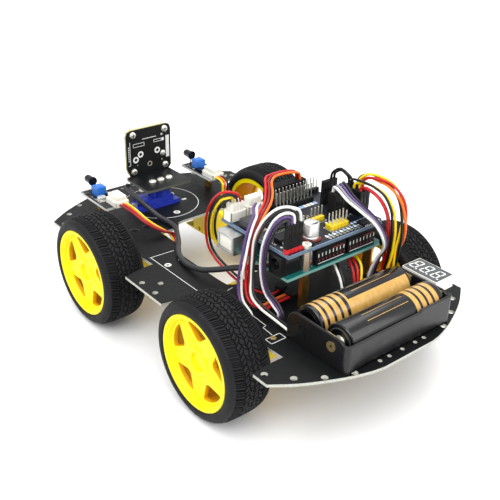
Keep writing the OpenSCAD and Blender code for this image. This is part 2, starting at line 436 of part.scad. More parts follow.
h1_p = [[-48.4,-39,93.6],[-48.8,-39.4,98],[-53.8,-40,101.4],[-60.4,-40.2,102],[-68.4,-41,100.6],[-75.4,-41.6,94.6],[-78.4,-41.6,84.6],[-78,-42,75],[-75.8,-42.4,66.5],[-74.2,-42.6,57.5],[-73.4,-42.6,50],[-73.2,-42.6,45.2]];
// four leads wound round one route: the bundle turns a little at each point
function across(p,i) = let (t=p[min(i+1,len(p)-1)]-p[max(i-1,0)], m=norm([t[0],t[2]])) [-t[2]/m,0,t[0]/m];
function wound(p,k) = [for (i=[0:len(p)-1]) let (a=45+50*i+90*k, r = i == 0 ? 1.9 : i == 1 ? 1.6 : 1.35) p[i]+r*(cos(a)*across(p,i)+sin(a)*[0,1,0])];
h2_p = [[-52.6,-37.7,93.6],[-53.6,-37.6,95.4],[-60,-36.4,95.6],[-66.6,-36.4,93],[-70.4,-37.6,87],[-71.6,-39,79],[-71.4,-40.2,70],[-71,-41,62],[-70.4,-40.8,54],[-70,-40.4,45.2]];
h2_s = [[0,2.4,0],[0.4,2.2,0.6],[0.2,1.8,0.8],[-0.3,1.8,0.8],[-0.8,1.7,0.2],[-0.4,1.8,0],[0.4,1.8,0],[0.4,1.8,0],[0.3,1.8,0],[0.3,1.8,0]];
h4_p = [[-47.4,-35.6,93.6],[-48.4,-35.8,96.6],[-55,-37.2,98],[-62,-37,98.2],[-69,-37.6,95.6],[-74,-38.6,88],[-75.8,-38.9,79],[-75.4,-39.4,70],[-74.8,-39.4,62],[-73.6,-38.8,54],[-73.2,-38.4,45.2]];
h4_s = [[2.4,0,0],[2,0.8,1.7],[0.6,1.7,1.2],[0,1.8,0.8],[0,1.8,0.6],[0.6,1.6,0.6],[1.4,1.2,0],[1.7,0.5,0],[1.9,0.2,0],[1.8,0.3,0],[1.8,0.4,0]];
h3_p = [[-31.3,-36.6,93.6],[-32,-36.8,97],[-36,-37.2,99.4],[-40.4,-37.5,97.6],[-41.4,-37.7,95.6],[-41.4,-37.7,93.6]];
h3_s = [[0,2.4,0],[0,2.2,0.6],[-0.6,1.6,1.6],[-2.2,0.8,1],[-2.5,0,0],[-2.5,0,0]];
j_p = [[-56,-12,65.2],[-57,-11.6,63],[-63,-9.6,61],[-69,-8,56],[-72.4,-7,49],[-73,-6.6,45.2]];
j_s = [for (p=j_p) [0,-2,0]];
j2_p = [[-50,-24,65.2],[-51,-24,63],[-59,-22,61],[-66,-20,57],[-70,-18,50],[-71,-17,45.2]];
j2_s = [[0,-2,0],[0,-2,0],[0,-2.4,0.4],[0,-3,0.6],[0,-2.4,0.6],[0,-1.8,0]];
kl_p = [[72.6,34,58.6],[66,34,58.8],[60,33.4,57.6],[54,31.6,54.6],[50,28,51],[47.6,24,47.8],[46.2,20.6,44.6],[42.4,21.2,41.2],[38.6,28,41],[34,35,42],[31,36,43.6]];
kl_s = [[0,2,0],[0,2,0],[-0.6,1.8,0],[-1,1.6,0],[-1.4,1.2,0],[-1.7,0.6,0.2],[-1.6,-0.4,0.7],[-1.2,-1.2,0.4],[-1.2,-1.3,0],[-0.9,-1.6,0],[-0.9,-1.6,0]];
kr_p = [[72.6,-34,58.6],[69,-34,58.8],[66,-34.4,57],[65.4,-34.4,51],[66,-33.6,47.4],[66.6,-32.6,45.2]];
kr_s = [for (p=kr_p) [0,-2,0]];
module leads_left() color([0.75,0.1,0.1]) { run(a_p,a_s,2); run(a2_p,a2_s,2); run(b_p,b_s,3); run(c_p,c_s,2); run(c2_p,c2_s,3); run(d_p,d_s,2); }
module leads_right() color([0.9,0.75,0.1]) { run(g_p,g_s,4); for (k=[0:3]) lead([for (q=wound(h1_p,k)) follow(q)],lead_d,2); run(h2_p,h2_s,2); run(h3_p,h3_s,2); run(h4_p,h4_s,2); }
module leads_modules() color([0.9,0.9,0.9]) { run(j_p,j_s,2); run(j2_p,j2_s,3); run(kl_p,kl_s,3); run(kr_p,kr_s,3); }
cable_p = [[97.6,17.4,58.2],[97.2,18,55.6],[91,19,54.6],[84,19.6,54.2],[75,18.6,52],[65,16.6,48.4],[56,15,47.2],[48,15.4,47],[40,19.4,47],[32,24,47],[24,29.6,47],[16,34,47],[5,36.6,47.2],[-7,36,49.4],[-18,32.6,53.4],[-28,30,58],[-38,25,61],[-45,16,61],[-47.6,11,61.4],[-48,10,65.2]];
module sensor_cable() color([0.2,0.2,0.21]) lead([for (p=cable_p) follow(p)],cable_d,2,10);

chassis_plate();
motor_screws();
gearbox_outer();
gearbox_inner();
motor_cans();
motor_caps();
tyre(1,1);  // tyre_fl
rim(1,1);  // rim_fl
shaft(1,1);  // shaft_fl
tyre(1,-1);  // tyre_fr
rim(1,-1);  // rim_fr
shaft(1,-1);  // shaft_fr
tyre(-1,1);  // tyre_rl
rim(-1,1);  // rim_rl
shaft(-1,1);  // shaft_rl
tyre(-1,-1);  // tyre_rr
rim(-1,-1);  // rim_rr
shaft(-1,-1);  // shaft_rr
battery_holder();
cell_front();
cell_rear();
battery_contacts();
display_socket();
display_body();
display_face();
brass_standoffs();
board_screws();
controller_board();
usb_socket();
dc_jack();
board_chips();
stack_headers();
expansion_board();
headers_yellow();
headers_red();
headers_black();
can_capacitors();
lead_sockets();
jumper_housings();
button_base();
reset_button();
servo_case();
servo_screws();
servo_horn();
pan_bracket();
head_board();
head_spacers();
sensor_board();
sensor_cans();
head_screws();
ir_boards();
ir_trimmers();
ir_leds();
ir_rotor(1);  // ir_rotor_left
ir_rotor(-1);  // ir_rotor_right
leads_left();
leads_right();
leads_modules();
sensor_cable();
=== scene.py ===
import math
import random

import bmesh
import bpy
from mathutils import Matrix, Vector


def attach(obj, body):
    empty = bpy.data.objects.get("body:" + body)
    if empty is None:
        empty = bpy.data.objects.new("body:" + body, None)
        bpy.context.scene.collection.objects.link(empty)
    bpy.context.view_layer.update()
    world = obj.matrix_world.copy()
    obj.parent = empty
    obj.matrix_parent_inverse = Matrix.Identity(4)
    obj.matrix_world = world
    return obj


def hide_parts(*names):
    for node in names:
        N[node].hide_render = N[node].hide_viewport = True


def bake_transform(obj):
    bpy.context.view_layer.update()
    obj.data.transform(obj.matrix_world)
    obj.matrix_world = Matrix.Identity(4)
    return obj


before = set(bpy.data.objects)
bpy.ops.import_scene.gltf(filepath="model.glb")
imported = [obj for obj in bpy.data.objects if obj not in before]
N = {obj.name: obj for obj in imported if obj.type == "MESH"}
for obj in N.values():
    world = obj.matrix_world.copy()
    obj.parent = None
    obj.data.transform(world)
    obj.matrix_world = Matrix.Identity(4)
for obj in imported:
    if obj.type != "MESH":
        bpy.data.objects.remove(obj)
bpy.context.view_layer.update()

MM = 0.001
scene = bpy.context.scene

# ---------------------------------------------------------------- camera
# solved from the four tyres, in millimetres, for a 500 x 500 picture
right = Vector((-0.63309, -0.77368, 0.02472))
up = Vector((0.38030, -0.28306, 0.88048))
fwd = Vector((0.67422, -0.56683, -0.47343))
cam_data = bpy.data.cameras.new("camera")
cam = bpy.data.objects.new("camera", cam_data)
scene.collection.objects.link(cam)
cam_data.sensor_width = 36.0
cam_data.lens = 786.185 / 500.0 * 36.0
cam_data.clip_start, cam_data.clip_end = 0.01, 50.0
cam.matrix_world = Matrix((
    (right.x, up.x, -fwd.x, -0.307682),
    (right.y, up.y, -fwd.y, 0.254500),
    (right.z, up.z, -fwd.z, 0.261597),
    (0, 0, 0, 1)))
scene.camera = cam

# ---------------------------------------------------------------- materials


def lin(c):
    """sRGB 0..255 to linear rgba."""
    out = []
    for x in c:
        x = x / 255.0
        out.append(x / 12.92 if x <= 0.04045 else ((x + 0.055) / 1.055) ** 2.4)
    return (*out, 1.0)


class Mat:
    """One procedural material and the node helpers that build it."""

    def __init__(s, name, rough=0.5, metal=0.0, spec=0.5, coat=0.0, coat_rough=0.1):
        s.m = bpy.data.materials.new(name)
        s.m.use_nodes = True
        s.nt = s.m.node_tree
        s.nt.nodes.clear()
        s.out = s.nt.nodes.new("ShaderNodeOutputMaterial")
        s.bs = s.nt.nodes.new("ShaderNodeBsdfPrincipled")
        s.nt.links.new(s.bs.outputs[0], s.out.inputs[0])
        s.bs.inputs["Roughness"].default_value = rough
        s.bs.inputs["Metallic"].default_value = metal
        s.bs.inputs["Specular IOR Level"].default_value = spec
        s.bs.inputs["Coat Weight"].default_value = coat
        s.bs.inputs["Coat Roughness"].default_value = coat_rough
        s.tc = s.nt.nodes.new("ShaderNodeTexCoord")
        s._xyz = None
        s._nrm = None

    def link(s, a, b):
        s.nt.links.new(a, b)

    def put(s, sock, v):
        if hasattr(v, "is_output"):
            s.nt.links.new(v, sock)
        else:
            sock.default_value = v

    def xyz(s):
        if s._xyz is None:
            n = s.nt.nodes.new("ShaderNodeSeparateXYZ")
            s.link(s.tc.outputs["Object"], n.inputs[0])
            s._xyz = n.outputs
        return s._xyz

    def nrm(s):
        if s._nrm is None:
            n = s.nt.nodes.new("ShaderNodeSeparateXYZ")
            s.link(s.tc.outputs["Normal"], n.inputs[0])
            s._nrm = n.outputs
        return s._nrm

    def math(s, op, a, b=0.0, c=0.0):
        n = s.nt.nodes.new("ShaderNodeMath")
        n.operation = op
        s.put(n.inputs[0], a)
        s.put(n.inputs[1], b)
        if op in ("SMOOTH_MIN", "COMPARE", "MULTIPLY_ADD", "WRAP"):
            s.put(n.inputs[2], c)
        return n.outputs[0]

    def step(s, v, lo, hi):
        """0 below lo, 1 above hi, smooth between."""
        n = s.nt.nodes.new("ShaderNodeMapRange")
        n.interpolation_type = "SMOOTHSTEP"
        s.put(n.inputs[0], v)
        n.inputs[1].default_value, n.inputs[2].default_value = lo, hi
        n.inputs[3].default_value, n.inputs[4].default_value = 0.0, 1.0
        return n.outputs[0]

    def maprange(s, v, a, b, c, d):
        n = s.nt.nodes.new("ShaderNodeMapRange")
        s.put(n.inputs[0], v)
        for i, x in enumerate((a, b, c, d)):
            n.inputs[1 + i].default_value = x
        return n.outputs[0]

    def band(s, v, lo, hi, w=0.00006):
        """1 where lo < v < hi."""
        a = s.step(v, lo - w, lo + w)
        b = s.step(v, hi - w, hi + w)
        return s.math("SUBTRACT", a, b)

    def noise(s, scale, detail=4.0, rough=0.55, vec=None):
        n = s.nt.nodes.new("ShaderNodeTexNoise")
        n.inputs["Scale"].default_value = scale
        n.inputs["Detail"].default_value = detail
        n.inputs["Roughness"].default_value = rough
        s.link(vec if vec is not None else s.tc.outputs["Object"], n.inputs["Vector"])
        return n.outputs[0]

    def voronoi(s, scale):
        n = s.nt.nodes.new("ShaderNodeTexVoronoi")
        n.inputs["Scale"].default_value = scale
        s.link(s.tc.outputs["Object"], n.inputs["Vector"])
        return n.outputs["Distance"]

    def stretch(s, sx, sy, sz):
        n = s.nt.nodes.new("ShaderNodeMapping")
        n.inputs["Scale"].default_value = (sx, sy, sz)
        s.link(s.tc.outputs["Object"], n.inputs["Vector"])
        return n.outputs[0]

    def mix(s, f, a, b):
        n = s.nt.nodes.new("ShaderNodeMix")
        n.data_type = "RGBA"
        s.put(n.inputs[0], f)
        s.put(n.inputs[6], a)
        s.put(n.inputs[7], b)
        return n.outputs[2]

    def vary(s, col, amount=0.12, scale=260.0):
        """a colour with mottling."""
        dark = tuple(x * (1 - amount) for x in col[:3]) + (1.0,)
        light = tuple(min(1.0, x * (1 + amount)) for x in col[:3]) + (1.0,)
        return s.mix(s.maprange(s.noise(scale), 0.3, 0.7, 0.0, 1.0), dark, light)

    def color(s, sock):
        s.put(s.bs.inputs["Base Color"], sock)

    def rough(s, lo, hi, scale=220.0):
        s.link(s.maprange(s.noise(scale, 5.0), 0.3, 0.7, lo, hi), s.bs.inputs["Roughness"])

    def bump(s, height, strength=0.2, dist=0.0001):
        n = s.nt.nodes.new("ShaderNodeBump")
        n.inputs["Strength"].default_value = strength
        n.inputs["Distance"].default_value = dist
        s.link(height, n.inputs["Height"])
        s.link(n.outputs[0], s.bs.inputs["Normal"])


def plastic(name, rgb, lo=0.35, hi=0.5, amount=0.08, grain=2200.0, strength=0.12, spec=0.4, coat=0.0, scale=240.0):
    m = Mat(name, spec=spec, coat=coat)
    m.color(m.vary(lin(rgb), amount, scale))
    m.rough(lo, hi)
    m.bump(m.noise(grain, 3.0), strength, 0.00004)
    return m.m


def metal(name, rgb, lo=0.2, hi=0.35, amount=0.06, strength=0.08, brushed=None):
    m = Mat(name, metal=1.0)
    m.color(m.vary(lin(rgb), amount, 400.0))
    m.rough(lo, hi, 500.0)
    vec = m.stretch(*brushed) if brushed else None
    m.bump(m.noise(900.0, 4.0, vec=vec), strength, 0.00003)
    return m.m


def board(name, rgb, edge, lo=0.3, hi=0.45, trace=0.25, axis=2, spec=0.3):
    """Solder-mask board: mask on the two faces, bare laminate on its edges, faint copper under the mask."""
    m = Mat(name, spec=spec)
    top = m.vary(lin(rgb), 0.10, 90.0)
    # copper under the mask: wandering bands of a slightly lighter tone
    w = m.math("ABSOLUTE", m.math("SUBTRACT", m.noise(95.0, 1.0), 0.5))
    lines = m.math("SUBTRACT", 1.0, m.step(w, 0.006, 0.012))
    lit = tuple(min(1.0, x * 1.7 + 0.004) for x in lin(rgb)[:3]) + (1.0,)
    top = m.mix(m.math("MULTIPLY", lines, trace), top, lit)
    side = m.math("SUBTRACT", 1.0, m.step(m.math("ABSOLUTE", m.nrm()[axis]), 0.45, 0.55))
    lam = m.vary(lin(edge), 0.16, 900.0)
    m.color(m.mix(side, top, lam))
    m.rough(lo, hi, 320.0)
    m.bump(m.math("ADD", m.noise(1500.0, 3.0), m.math("MULTIPLY", lines, 0.6)), 0.10, 0.00004)
    return m.m


MT = {}
MT["plate"] = board("plate_mask", (15, 16, 17), (176, 177, 168), 0.36, 0.5, 0.14, spec=0.16)
MT["board_black"] = board("black_mask", (16, 17, 19), (84, 88, 82), 0.3, 0.44, 0.15, spec=0.2)
MT["head_black"] = board("head_mask", (20, 22, 22), (168, 162, 120), 0.34, 0.48, 0.14, axis=0, spec=0.18)
MT["board_teal"] = board("teal_mask", (10, 92, 88), (120, 170, 160), 0.28, 0.4, 0.35)
MT["board_navy"] = board("navy_mask", (20, 25, 34), (104, 122, 142), 0.3, 0.42, 0.3)
MT["sensor_dark"] = board("sensor_mask", (24, 27, 28), (224, 212, 150), 0.3, 0.42, 0.3, axis=0)
MT["ir_board"] = board("ir_mask", (24, 26, 30), (196, 200, 196), 0.32, 0.44, 0.25)
MT["yellow"] = plastic("yellow_moulding", (238, 218, 3), 0.36, 0.5, 0.035, 1700.0, 0.08, spec=0.24)
# darker orange yellow: painted shade for the recessed faces of the rims
MT["yellow_recess_shade"] = plastic("yellow_painted_shade", (226, 168, 8), 0.42, 0.56, 0.06, 1500.0, 0.16)
MT["gear_yellow"] = plastic("gearbox_moulding", (246, 214, 10), 0.34, 0.48, 0.05, 1500.0, 0.12)
MT["white"] = plastic("white_nylon", (236, 234, 224), 0.38, 0.5, 0.04, 1600.0, 0.10)
MT["cream"] = plastic("cream_nylon", (232, 226, 206), 0.4, 0.55, 0.05, 1600.0, 0.12)
MT["black"] = plastic("black_moulding", (20, 20, 22), 0.3, 0.42, 0.12, 2000.0, 0.12, spec=0.3)
MT["black_matt"] = plastic("black_matt_moulding", (19, 19, 20), 0.42, 0.58, 0.14, 2200.0, 0.2, spec=0.22)
MT["holder"] = plastic("holder_black", (22, 22, 24), 0.26, 0.38, 0.10, 1400.0, 0.10, spec=0.34)
MT["black_gloss"] = plastic("black_gloss_resin", (14, 14, 17), 0.1, 0.18, 0.12, 900.0, 0.05)
MT["red"] = plastic("red_moulding", (196, 26, 34), 0.36, 0.48, 0.08)
MT["pin_yellow"] = plastic("yellow_header", (226, 196, 22), 0.38, 0.5, 0.08)
MT["blue"] = plastic("blue_moulding", (38, 58, 182), 0.2, 0.34, 0.10, 1500.0, 0.10, coat=0.2)
MT["trim_blue"] = plastic("trimmer_blue", (40, 106, 192), 0.3, 0.42, 0.06)
MT["trim_rotor"] = plastic("rotor_blue", (64, 122, 204), 0.32, 0.44, 0.06)
MT["steel"] = metal("plated_steel", (226, 226, 224), 0.28, 0.4)
MT["steel_brushed"] = metal("drawn_can", (190, 192, 196), 0.26, 0.4, 0.06, 0.25, (1.0, 60.0, 60.0))
MT["screw"] = metal("nickel_screw", (244, 242, 232), 0.36, 0.5, 0.08, 0.12)
MT["alu"] = metal("bright_aluminium", (232, 232, 230), 0.34, 0.46)
MT["screw_black"] = metal("black_oxide", (46, 46, 48), 0.3, 0.45)
MT["brass"] = metal("turned_brass", (188, 152, 82), 0.3, 0.44, 0.06, 0.1, (40.0, 40.0, 900.0))
MT["gold"] = metal("gold_flash", (238, 214, 150), 0.3, 0.42)
MT["silk_red"] = plastic("red_ink", (176, 60, 62), 0.5, 0.65, 0.06, 3000.0, 0.2)
MT["silk"] = plastic("white_ink", (222, 224, 222), 0.5, 0.65, 0.05, 3000.0, 0.2)
MT["silk_blue"] = plastic("blue_ink", (150, 178, 214), 0.5, 0.65, 0.06, 3000.0, 0.2)
MT["tinned"] = metal("tinned_pad", (230, 230, 222), 0.34, 0.48)
MT["solder_red"] = plastic("reddish_base", (132, 56, 48), 0.4, 0.55, 0.1)
MT["ferrite"] = plastic("ferrite_block", (58, 60, 60), 0.5, 0.62, 0.12, 1800.0, 0.2)
MT["ceramic"] = plastic("ceramic_tan", (150, 118, 84), 0.4, 0.55, 0.12)
# smoked display face and printed marks; on the screw heads this grey is painted shade for the cross recesses
MT["grey_face_and_recess_shade"] = plastic("smoked_face_and_recess_shade", (70, 74, 76), 0.28, 0.4, 0.06)
MT["segment"] = plastic("pale_segment", (226, 228, 222), 0.36, 0.5, 0.03)
# near-black: painted shade standing in for the openings on top of the crimp housings
MT["housing_opening_shade"] = plastic("painted_opening_shade", (6, 6, 7), 0.7, 0.9, 0.1)

LEAD = {
    "red": (190, 22, 26), "black": (18, 18, 20), "white": (232, 231, 226), "orange": (232, 108, 22), "brown": (88, 44, 28),
    "purple": (84, 58, 116), "grey": (132, 132, 140), "yellow": (244, 208, 16), "dgrey": (40, 40, 43), "dred": (132, 22, 26)}
for k, rgb in LEAD.items():
    MT["lead_" + k] = plastic("insulation_" + k, rgb, 0.28, 0.42, 0.07, 700.0, 0.06, scale=420.0)


def rubber():
    m = Mat("tyre_rubber", spec=0.16)
    dust = m.step(m.noise(140.0, 6.0, 0.7), 0.52, 0.72)
    base = m.vary(lin((25, 25, 27)), 0.16, 300.0)
    m.color(m.mix(m.math("MULTIPLY", dust, 0.3), base, lin((46, 46, 48))))
    m.rough(0.5, 0.68, 300.0)
    m.bump(m.noise(1800.0, 4.0), 0.25, 0.00006)
    return m.m


MT["rubber"] = rubber()


def cell_sleeve(name, front):
    """Shrink sleeve with gold and dark bands round one end and a gold stripe along it."""
    m = Mat(name, spec=0.4, coat=0.2, coat_rough=0.1)
    x, y, z = m.xyz()
    gold = m.vary(lin((196, 154, 82)), 0.16, 420.0)
    dark = m.vary(lin((20, 20, 22)), 0.14, 160.0)
    cz, cx = 0.0558, (-0.0882 if front else -0.1078)
    ang = m.math("ARCTAN2", m.math("SUBTRACT", z, cz), m.math("SUBTRACT", x, cx))
    if front:
        # four dark rings on gold at the left end, then a gold stripe on a dark sleeve
        rings = m.band(y, 0.0128, 0.0149)
        for a in (0.0176, 0.0222, 0.0268):
            rings = m.math("ADD", rings, m.band(y, a, a + 0.0016))
        ends = m.mix(rings, gold, dark)
        stripe = m.math("MULTIPLY", m.band(ang, 2.08, 3.12, 0.008), m.step(y, -0.0296, -0.0295))
        body = m.mix(stripe, dark, gold)
        # thin gold rules beside the stripe
        for a in (1.22, 1.66):
            rule = m.math("MULTIPLY", m.band(ang, a, a + 0.03, 0.004), m.band(y, -0.022, 0.006))
            body = m.mix(rule, body, gold)
        col = m.mix(m.step(y, 0.0115, 0.0116), body, ends)
        col = m.mix(m.step(y, 0.0302, 0.0303), col, dark)
    else:
        col = dark
        for a in (-0.0288, -0.0243, -0.0198, -0.0153):
            r = m.math("MULTIPLY", m.band(y, a, a + 0.0029), m.band(ang, 0.62, 2.75, 0.01))
            col = m.mix(r, col, gold)
        for a in (1.5, 1.98):
            rule = m.math("MULTIPLY", m.band(ang, a, a + 0.03, 0.004), m.band(y, -0.010, 0.018))
            col = m.mix(rule, col, gold)
    m.color(col)
    m.rough(0.16, 0.26, 300.0)
    m.bump(m.noise(260.0, 3.0), 0.10, 0.00015)
    return m.m


MT["cell_front"] = cell_sleeve("sleeve_gold", True)
MT["cell_rear"] = cell_sleeve("sleeve_dark", False)


def paint(node, key):
    o = N[node]
    o.data.materials.clear()
    o.data.materials.append(MT[key])
    n = len(o.data.polygons)
    o.data.polygons.foreach_set("material_index", [0] * n)


PAINT = {
    "chassis_plate": "plate", "motor_screws": "screw_black", "gearbox_outer": "gear_yellow", "gearbox_inner": "gear_yellow",
    "motor_cans": "steel_brushed", "motor_caps": "cream", "battery_holder": "black", "cell_front": "cell_front", "cell_rear": "cell_rear",
    "battery_contacts": "gold", "display_socket": "black", "display_body": "white", "display_face": "grey_face_and_recess_shade", "brass_standoffs": "brass",
    "board_screws": "screw", "controller_board": "board_teal", "usb_socket": "steel", "dc_jack": "black", "board_chips": "black_matt", "stack_headers": "black_matt",
    "expansion_board": "board_navy", "headers_yellow": "pin_yellow", "headers_red": "red", "headers_black": "black_matt", "can_capacitors": "alu",
    "lead_sockets": "white", "jumper_housings": "black_matt", "button_base": "steel", "reset_button": "red",
    "servo_case": "blue", "servo_screws": "screw", "servo_horn": "white", "pan_bracket": "board_black", "head_board": "head_black",
    "head_spacers": "brass", "sensor_board": "sensor_dark", "sensor_cans": "alu", "head_screws": "steel",
    "ir_boards": "ir_board", "ir_trimmers": "trim_blue", "ir_leds": "black_gloss", "ir_rotor_left": "trim_rotor", "ir_rotor_right": "trim_rotor",
    "leads_left": "lead_red", "leads_right": "lead_yellow", "leads_modules": "lead_white", "sensor_cable": "lead_dgrey"}
for c in ("fl", "fr", "rl", "rr"):
    PAINT["tyre_" + c] = "rubber"
    PAINT["rim_" + c] = "yellow"
    PAINT["shaft_" + c] = "white"
for node, key in PAINT.items():
    paint(node, key)


def paint_part(node, key, pick):
    """second material on the faces of a node that pick chooses by their centre, in millimetres"""
    o = N[node]
    o.data.materials.append(MT[key])
    for p in o.data.polygons:
        c = (o.matrix_world @ p.center) * 1000.0
        if pick(c):
            p.material_index = 1


# the spacer between the two boards is plated, and the contact of the front cell sits behind black plastic at its left end
paint_part("brass_standoffs", "steel", lambda c: c.z > 66.5)
paint_part("battery_contacts", "black_matt", lambda c: c.y > 30.0 and c.x > -97.0)

# ---------------------------------------------------------------- mesh helpers (millimetres in, metres out)
_cache = {}


def _bevel_box(dx, dy, dz, b, seg):
    key = (round(dx, 4), round(dy, 4), round(dz, 4), round(b, 4), seg)
    if key not in _cache:
        bm = bmesh.new()
        bmesh.ops.create_cube(bm, size=1.0)
        for v in bm.verts:
            v.co = Vector((v.co.x * dx, v.co.y * dy, v.co.z * dz))
        b = min(b, 0.45 * min(dx, dy, dz))
        if b > 0:
            bmesh.ops.bevel(bm, geom=list(bm.edges), offset=b, segments=seg, profile=0.5, affect="EDGES")
        bm.verts.index_update()
        _cache[key] = ([v.co.copy() for v in bm.verts], [tuple(v.index for v in f.verts) for f in bm.faces])
        bm.free()
    return _cache[key]


class Shape:
    """Gathers many solids into one mesh."""

    def __init__(s):
        s.v, s.f, s.m = [], [], []

    def add(s, verts, faces, mi=0):
        o = len(s.v)
        s.v += [Vector(v) for v in verts]
        s.f += [tuple(i + o for i in f) for f in faces]
        s.m += [mi] * len(faces)

    def box(s, x0, x1, y0, y1, z0, z1, mi=0, b=0.15, seg=1, M=None):
        vs, fs = _bevel_box(abs(x1 - x0), abs(y1 - y0), abs(z1 - z0), b, seg)
        c = Vector(((x0 + x1) / 2, (y0 + y1) / 2, (z0 + z1) / 2))
        vs = [v + c for v in vs]
        if M is not None:
            vs = [M @ v for v in vs]
        s.add(vs, fs, mi)

    def rev(s, origin, axis, prof, mi=0, n=32, M=None):
        """Revolve (radius, height) pairs about an axis through origin; radius 0 at an end closes it."""
        a = Vector(axis).normalized()
        u = a.orthogonal().normalized()
        w = a.cross(u)
        o = Vector(origin)
        rings, verts, faces = [], [], []
        for r, t in prof:
            if r <= 1e-9:
                rings.append([len(verts)] * n)
                verts.append(o + a * t)
            else:
                rings.append(list(range(len(verts), len(verts) + n)))
                verts += [o + a * t + (u * math.cos(2 * math.pi * k / n) + w * math.sin(2 * math.pi * k / n)) * r for k in range(n)]
        for p, q in zip(rings, rings[1:]):
            for k in range(n):
                k2 = (k + 1) % n
                f = []
                for i in (p[k], p[k2], q[k2], q[k]):
                    if i not in f:
                        f.append(i)
                if len(f) > 2:
                    faces.append(tuple(f))
        if M is not None:
            verts = [M @ v for v in verts]
        s.add(verts, faces, mi)

    def cyl(s, origin, axis, r, h, mi=0, n=24, b=0.1, M=None):
        b = min(b, r * 0.4, abs(h) * 0.4)
        s.rev(origin, axis, [(0, 0), (r - b, 0), (r, b), (r, h - b), (r - b, h), (0, h)], mi, n, M)

    def tube(s, pts, r, mi=0, n=10):
        verts, faces = [], []
        m = len(pts)
        prev = None
        for i, p in enumerate(pts):
            t = (pts[min(i + 1, m - 1)] - pts[max(i - 1, 0)]).normalized()
            if prev is None:
                u = t.orthogonal().normalized()
            else:
                u = (prev - t * prev.dot(t)).normalized()
            prev = u
            w = t.cross(u)
            verts += [p + (u * math.cos(2 * math.pi * k / n) + w * math.sin(2 * math.pi * k / n)) * r for k in range(n)]
        for i in range(m - 1):
            for k in range(n):
                k2 = (k + 1) % n
                faces.append((i * n + k, i * n + k2, (i + 1) * n + k2, (i + 1) * n + k))
        faces.append(tuple(range(n - 1, -1, -1)))
        faces.append(tuple((m - 1) * n + k for k in range(n)))
        s.add(verts, faces, mi)

    def prism(s, poly, lo, hi, mi=0, b=0.0, plane="xy"):
        """Extrude a polygon, its edges chamfered by b. plane xy extrudes along z, yz along x, xz along y."""
        bm = bmesh.new()
        vs = [bm.verts.new((p[0], p[1], lo)) for p in poly]
        f = bm.faces.new(vs)
        r = bmesh.ops.extrude_face_region(bm, geom=[f])
        for v in r["geom"]:
            if isinstance(v, bmesh.types.BMVert):
                v.co.z = hi
        bmesh.ops.recalc_face_normals(bm, faces=list(bm.faces))
        if b > 0:
            e = [x for x in bm.edges if len(x.link_faces) == 2 and x.calc_face_angle() > 0.6]
            bmesh.ops.bevel(bm, geom=e, offset=b, segments=1, profile=0.5, affect="EDGES")
        bm.verts.index_update()
        verts = [v.co.copy() for v in bm.verts]
        faces = [tuple(v.index for v in q.verts) for q in bm.faces]
        bm.free()
        if plane == "yz":
            verts = [Vector((v.z, v.x, v.y)) for v in verts]
        elif plane == "xz":
            verts = [Vector((v.x, v.z, v.y)) for v in verts]
        s.add(verts, faces, mi)

    def line(s, pts, w, z, mi=0, t=0.05):
        """Printed line on a horizontal board at height z."""
        for (x0, y0), (x1, y1) in zip(pts, pts[1:]):
            d = Vector((x1 - x0, y1 - y0, 0))
            L = d.length
            if L < 1e-6:
                continue
            M = Matrix.Translation(((x0 + x1) / 2, (y0 + y1) / 2, z + t / 2)) @ Matrix.Rotation(math.atan2(d.y, d.x), 4, "Z")
            s.box(-L / 2 - w / 2, L / 2 + w / 2, -w / 2, w / 2, -t / 2, t / 2, mi, 0.0, 1, M)

    def ring(s, x, y, r0, r1, z, mi=0, n=40, t=0.05, a0=0.0, a1=360.0):
        """Flat printed ring, or a stretch of one, on a horizontal board."""
        full = abs(a1 - a0) >= 359.9
        k = n if full else n + 1
        verts, faces = [], []
        for i in range(k):
            a = math.radians(a0 + (a1 - a0) * i / n)
            for r, zz in ((r0, z), (r1, z), (r1, z + t), (r0, z + t)):
                verts.append(Vector((x + r * math.cos(a), y + r * math.sin(a), zz)))
        for i in range(n):
            p, q = 4 * i, 4 * ((i + 1) % k)
            for j in range(4):
                faces.append((p + j, q + j, q + (j + 1) % 4, p + (j + 1) % 4))
        if not full:
            faces.append((0, 1, 2, 3))
            faces.append((4 * k - 4, 4 * k - 1, 4 * k - 2, 4 * k - 3))
        s.add(verts, faces, mi)

    def make(s, name, body, mats, slot=None, rep=(), angle=35.0, recalc=True):
        me = bpy.data.meshes.new(name)
        me.from_pydata([v * MM for v in s.v], [], s.f)
        for k in mats:
            me.materials.append(MT[k])
        me.polygons.foreach_set("material_index", s.m)
        if recalc:
            bm = bmesh.new()
            bm.from_mesh(me)
            bmesh.ops.recalc_face_normals(bm, faces=list(bm.faces))
            bm.to_mesh(me)
            bm.free()
        me.polygons.foreach_set("use_smooth", [True] * len(me.polygons))
        me.set_sharp_from_angle(angle=math.radians(angle))
        o = bpy.data.objects.new(name, me)
        scene.collection.objects.link(o)
        if body:
            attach(o, body)
        if rep:
            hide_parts(*rep)
        return o


def smooth(P, n):
    """Catmull-Rom through the points, as the CAD routes are."""
    P = [Vector(p) for p in P]
    out = []
    for i in range(len(P) - 1):
        a, b, c, d = P[max(i - 1, 0)], P[i], P[i + 1], P[min(i + 2, len(P) - 1)]
        for j in range(n):
            t = j / n
            out.append(0.5 * (2 * b + (c - a) * t + (2 * a - 5 * b + 4 * c - d) * t * t + (3 * b - a - 3 * c + d) * t ** 3))
    out.append(P[-1])
    return out


# ---------------------------------------------------------------- levels, as in the CAD
pz0, pz1 = 43.6, 45.2
uz0, uz1, ez0, ez1 = 65.2, 66.8, 78.0, 79.6
hz0, hz1 = 59.2, 60.8
iz0, iz1 = 55.2, 56.8
cz = 55.8
bdx = 101.6

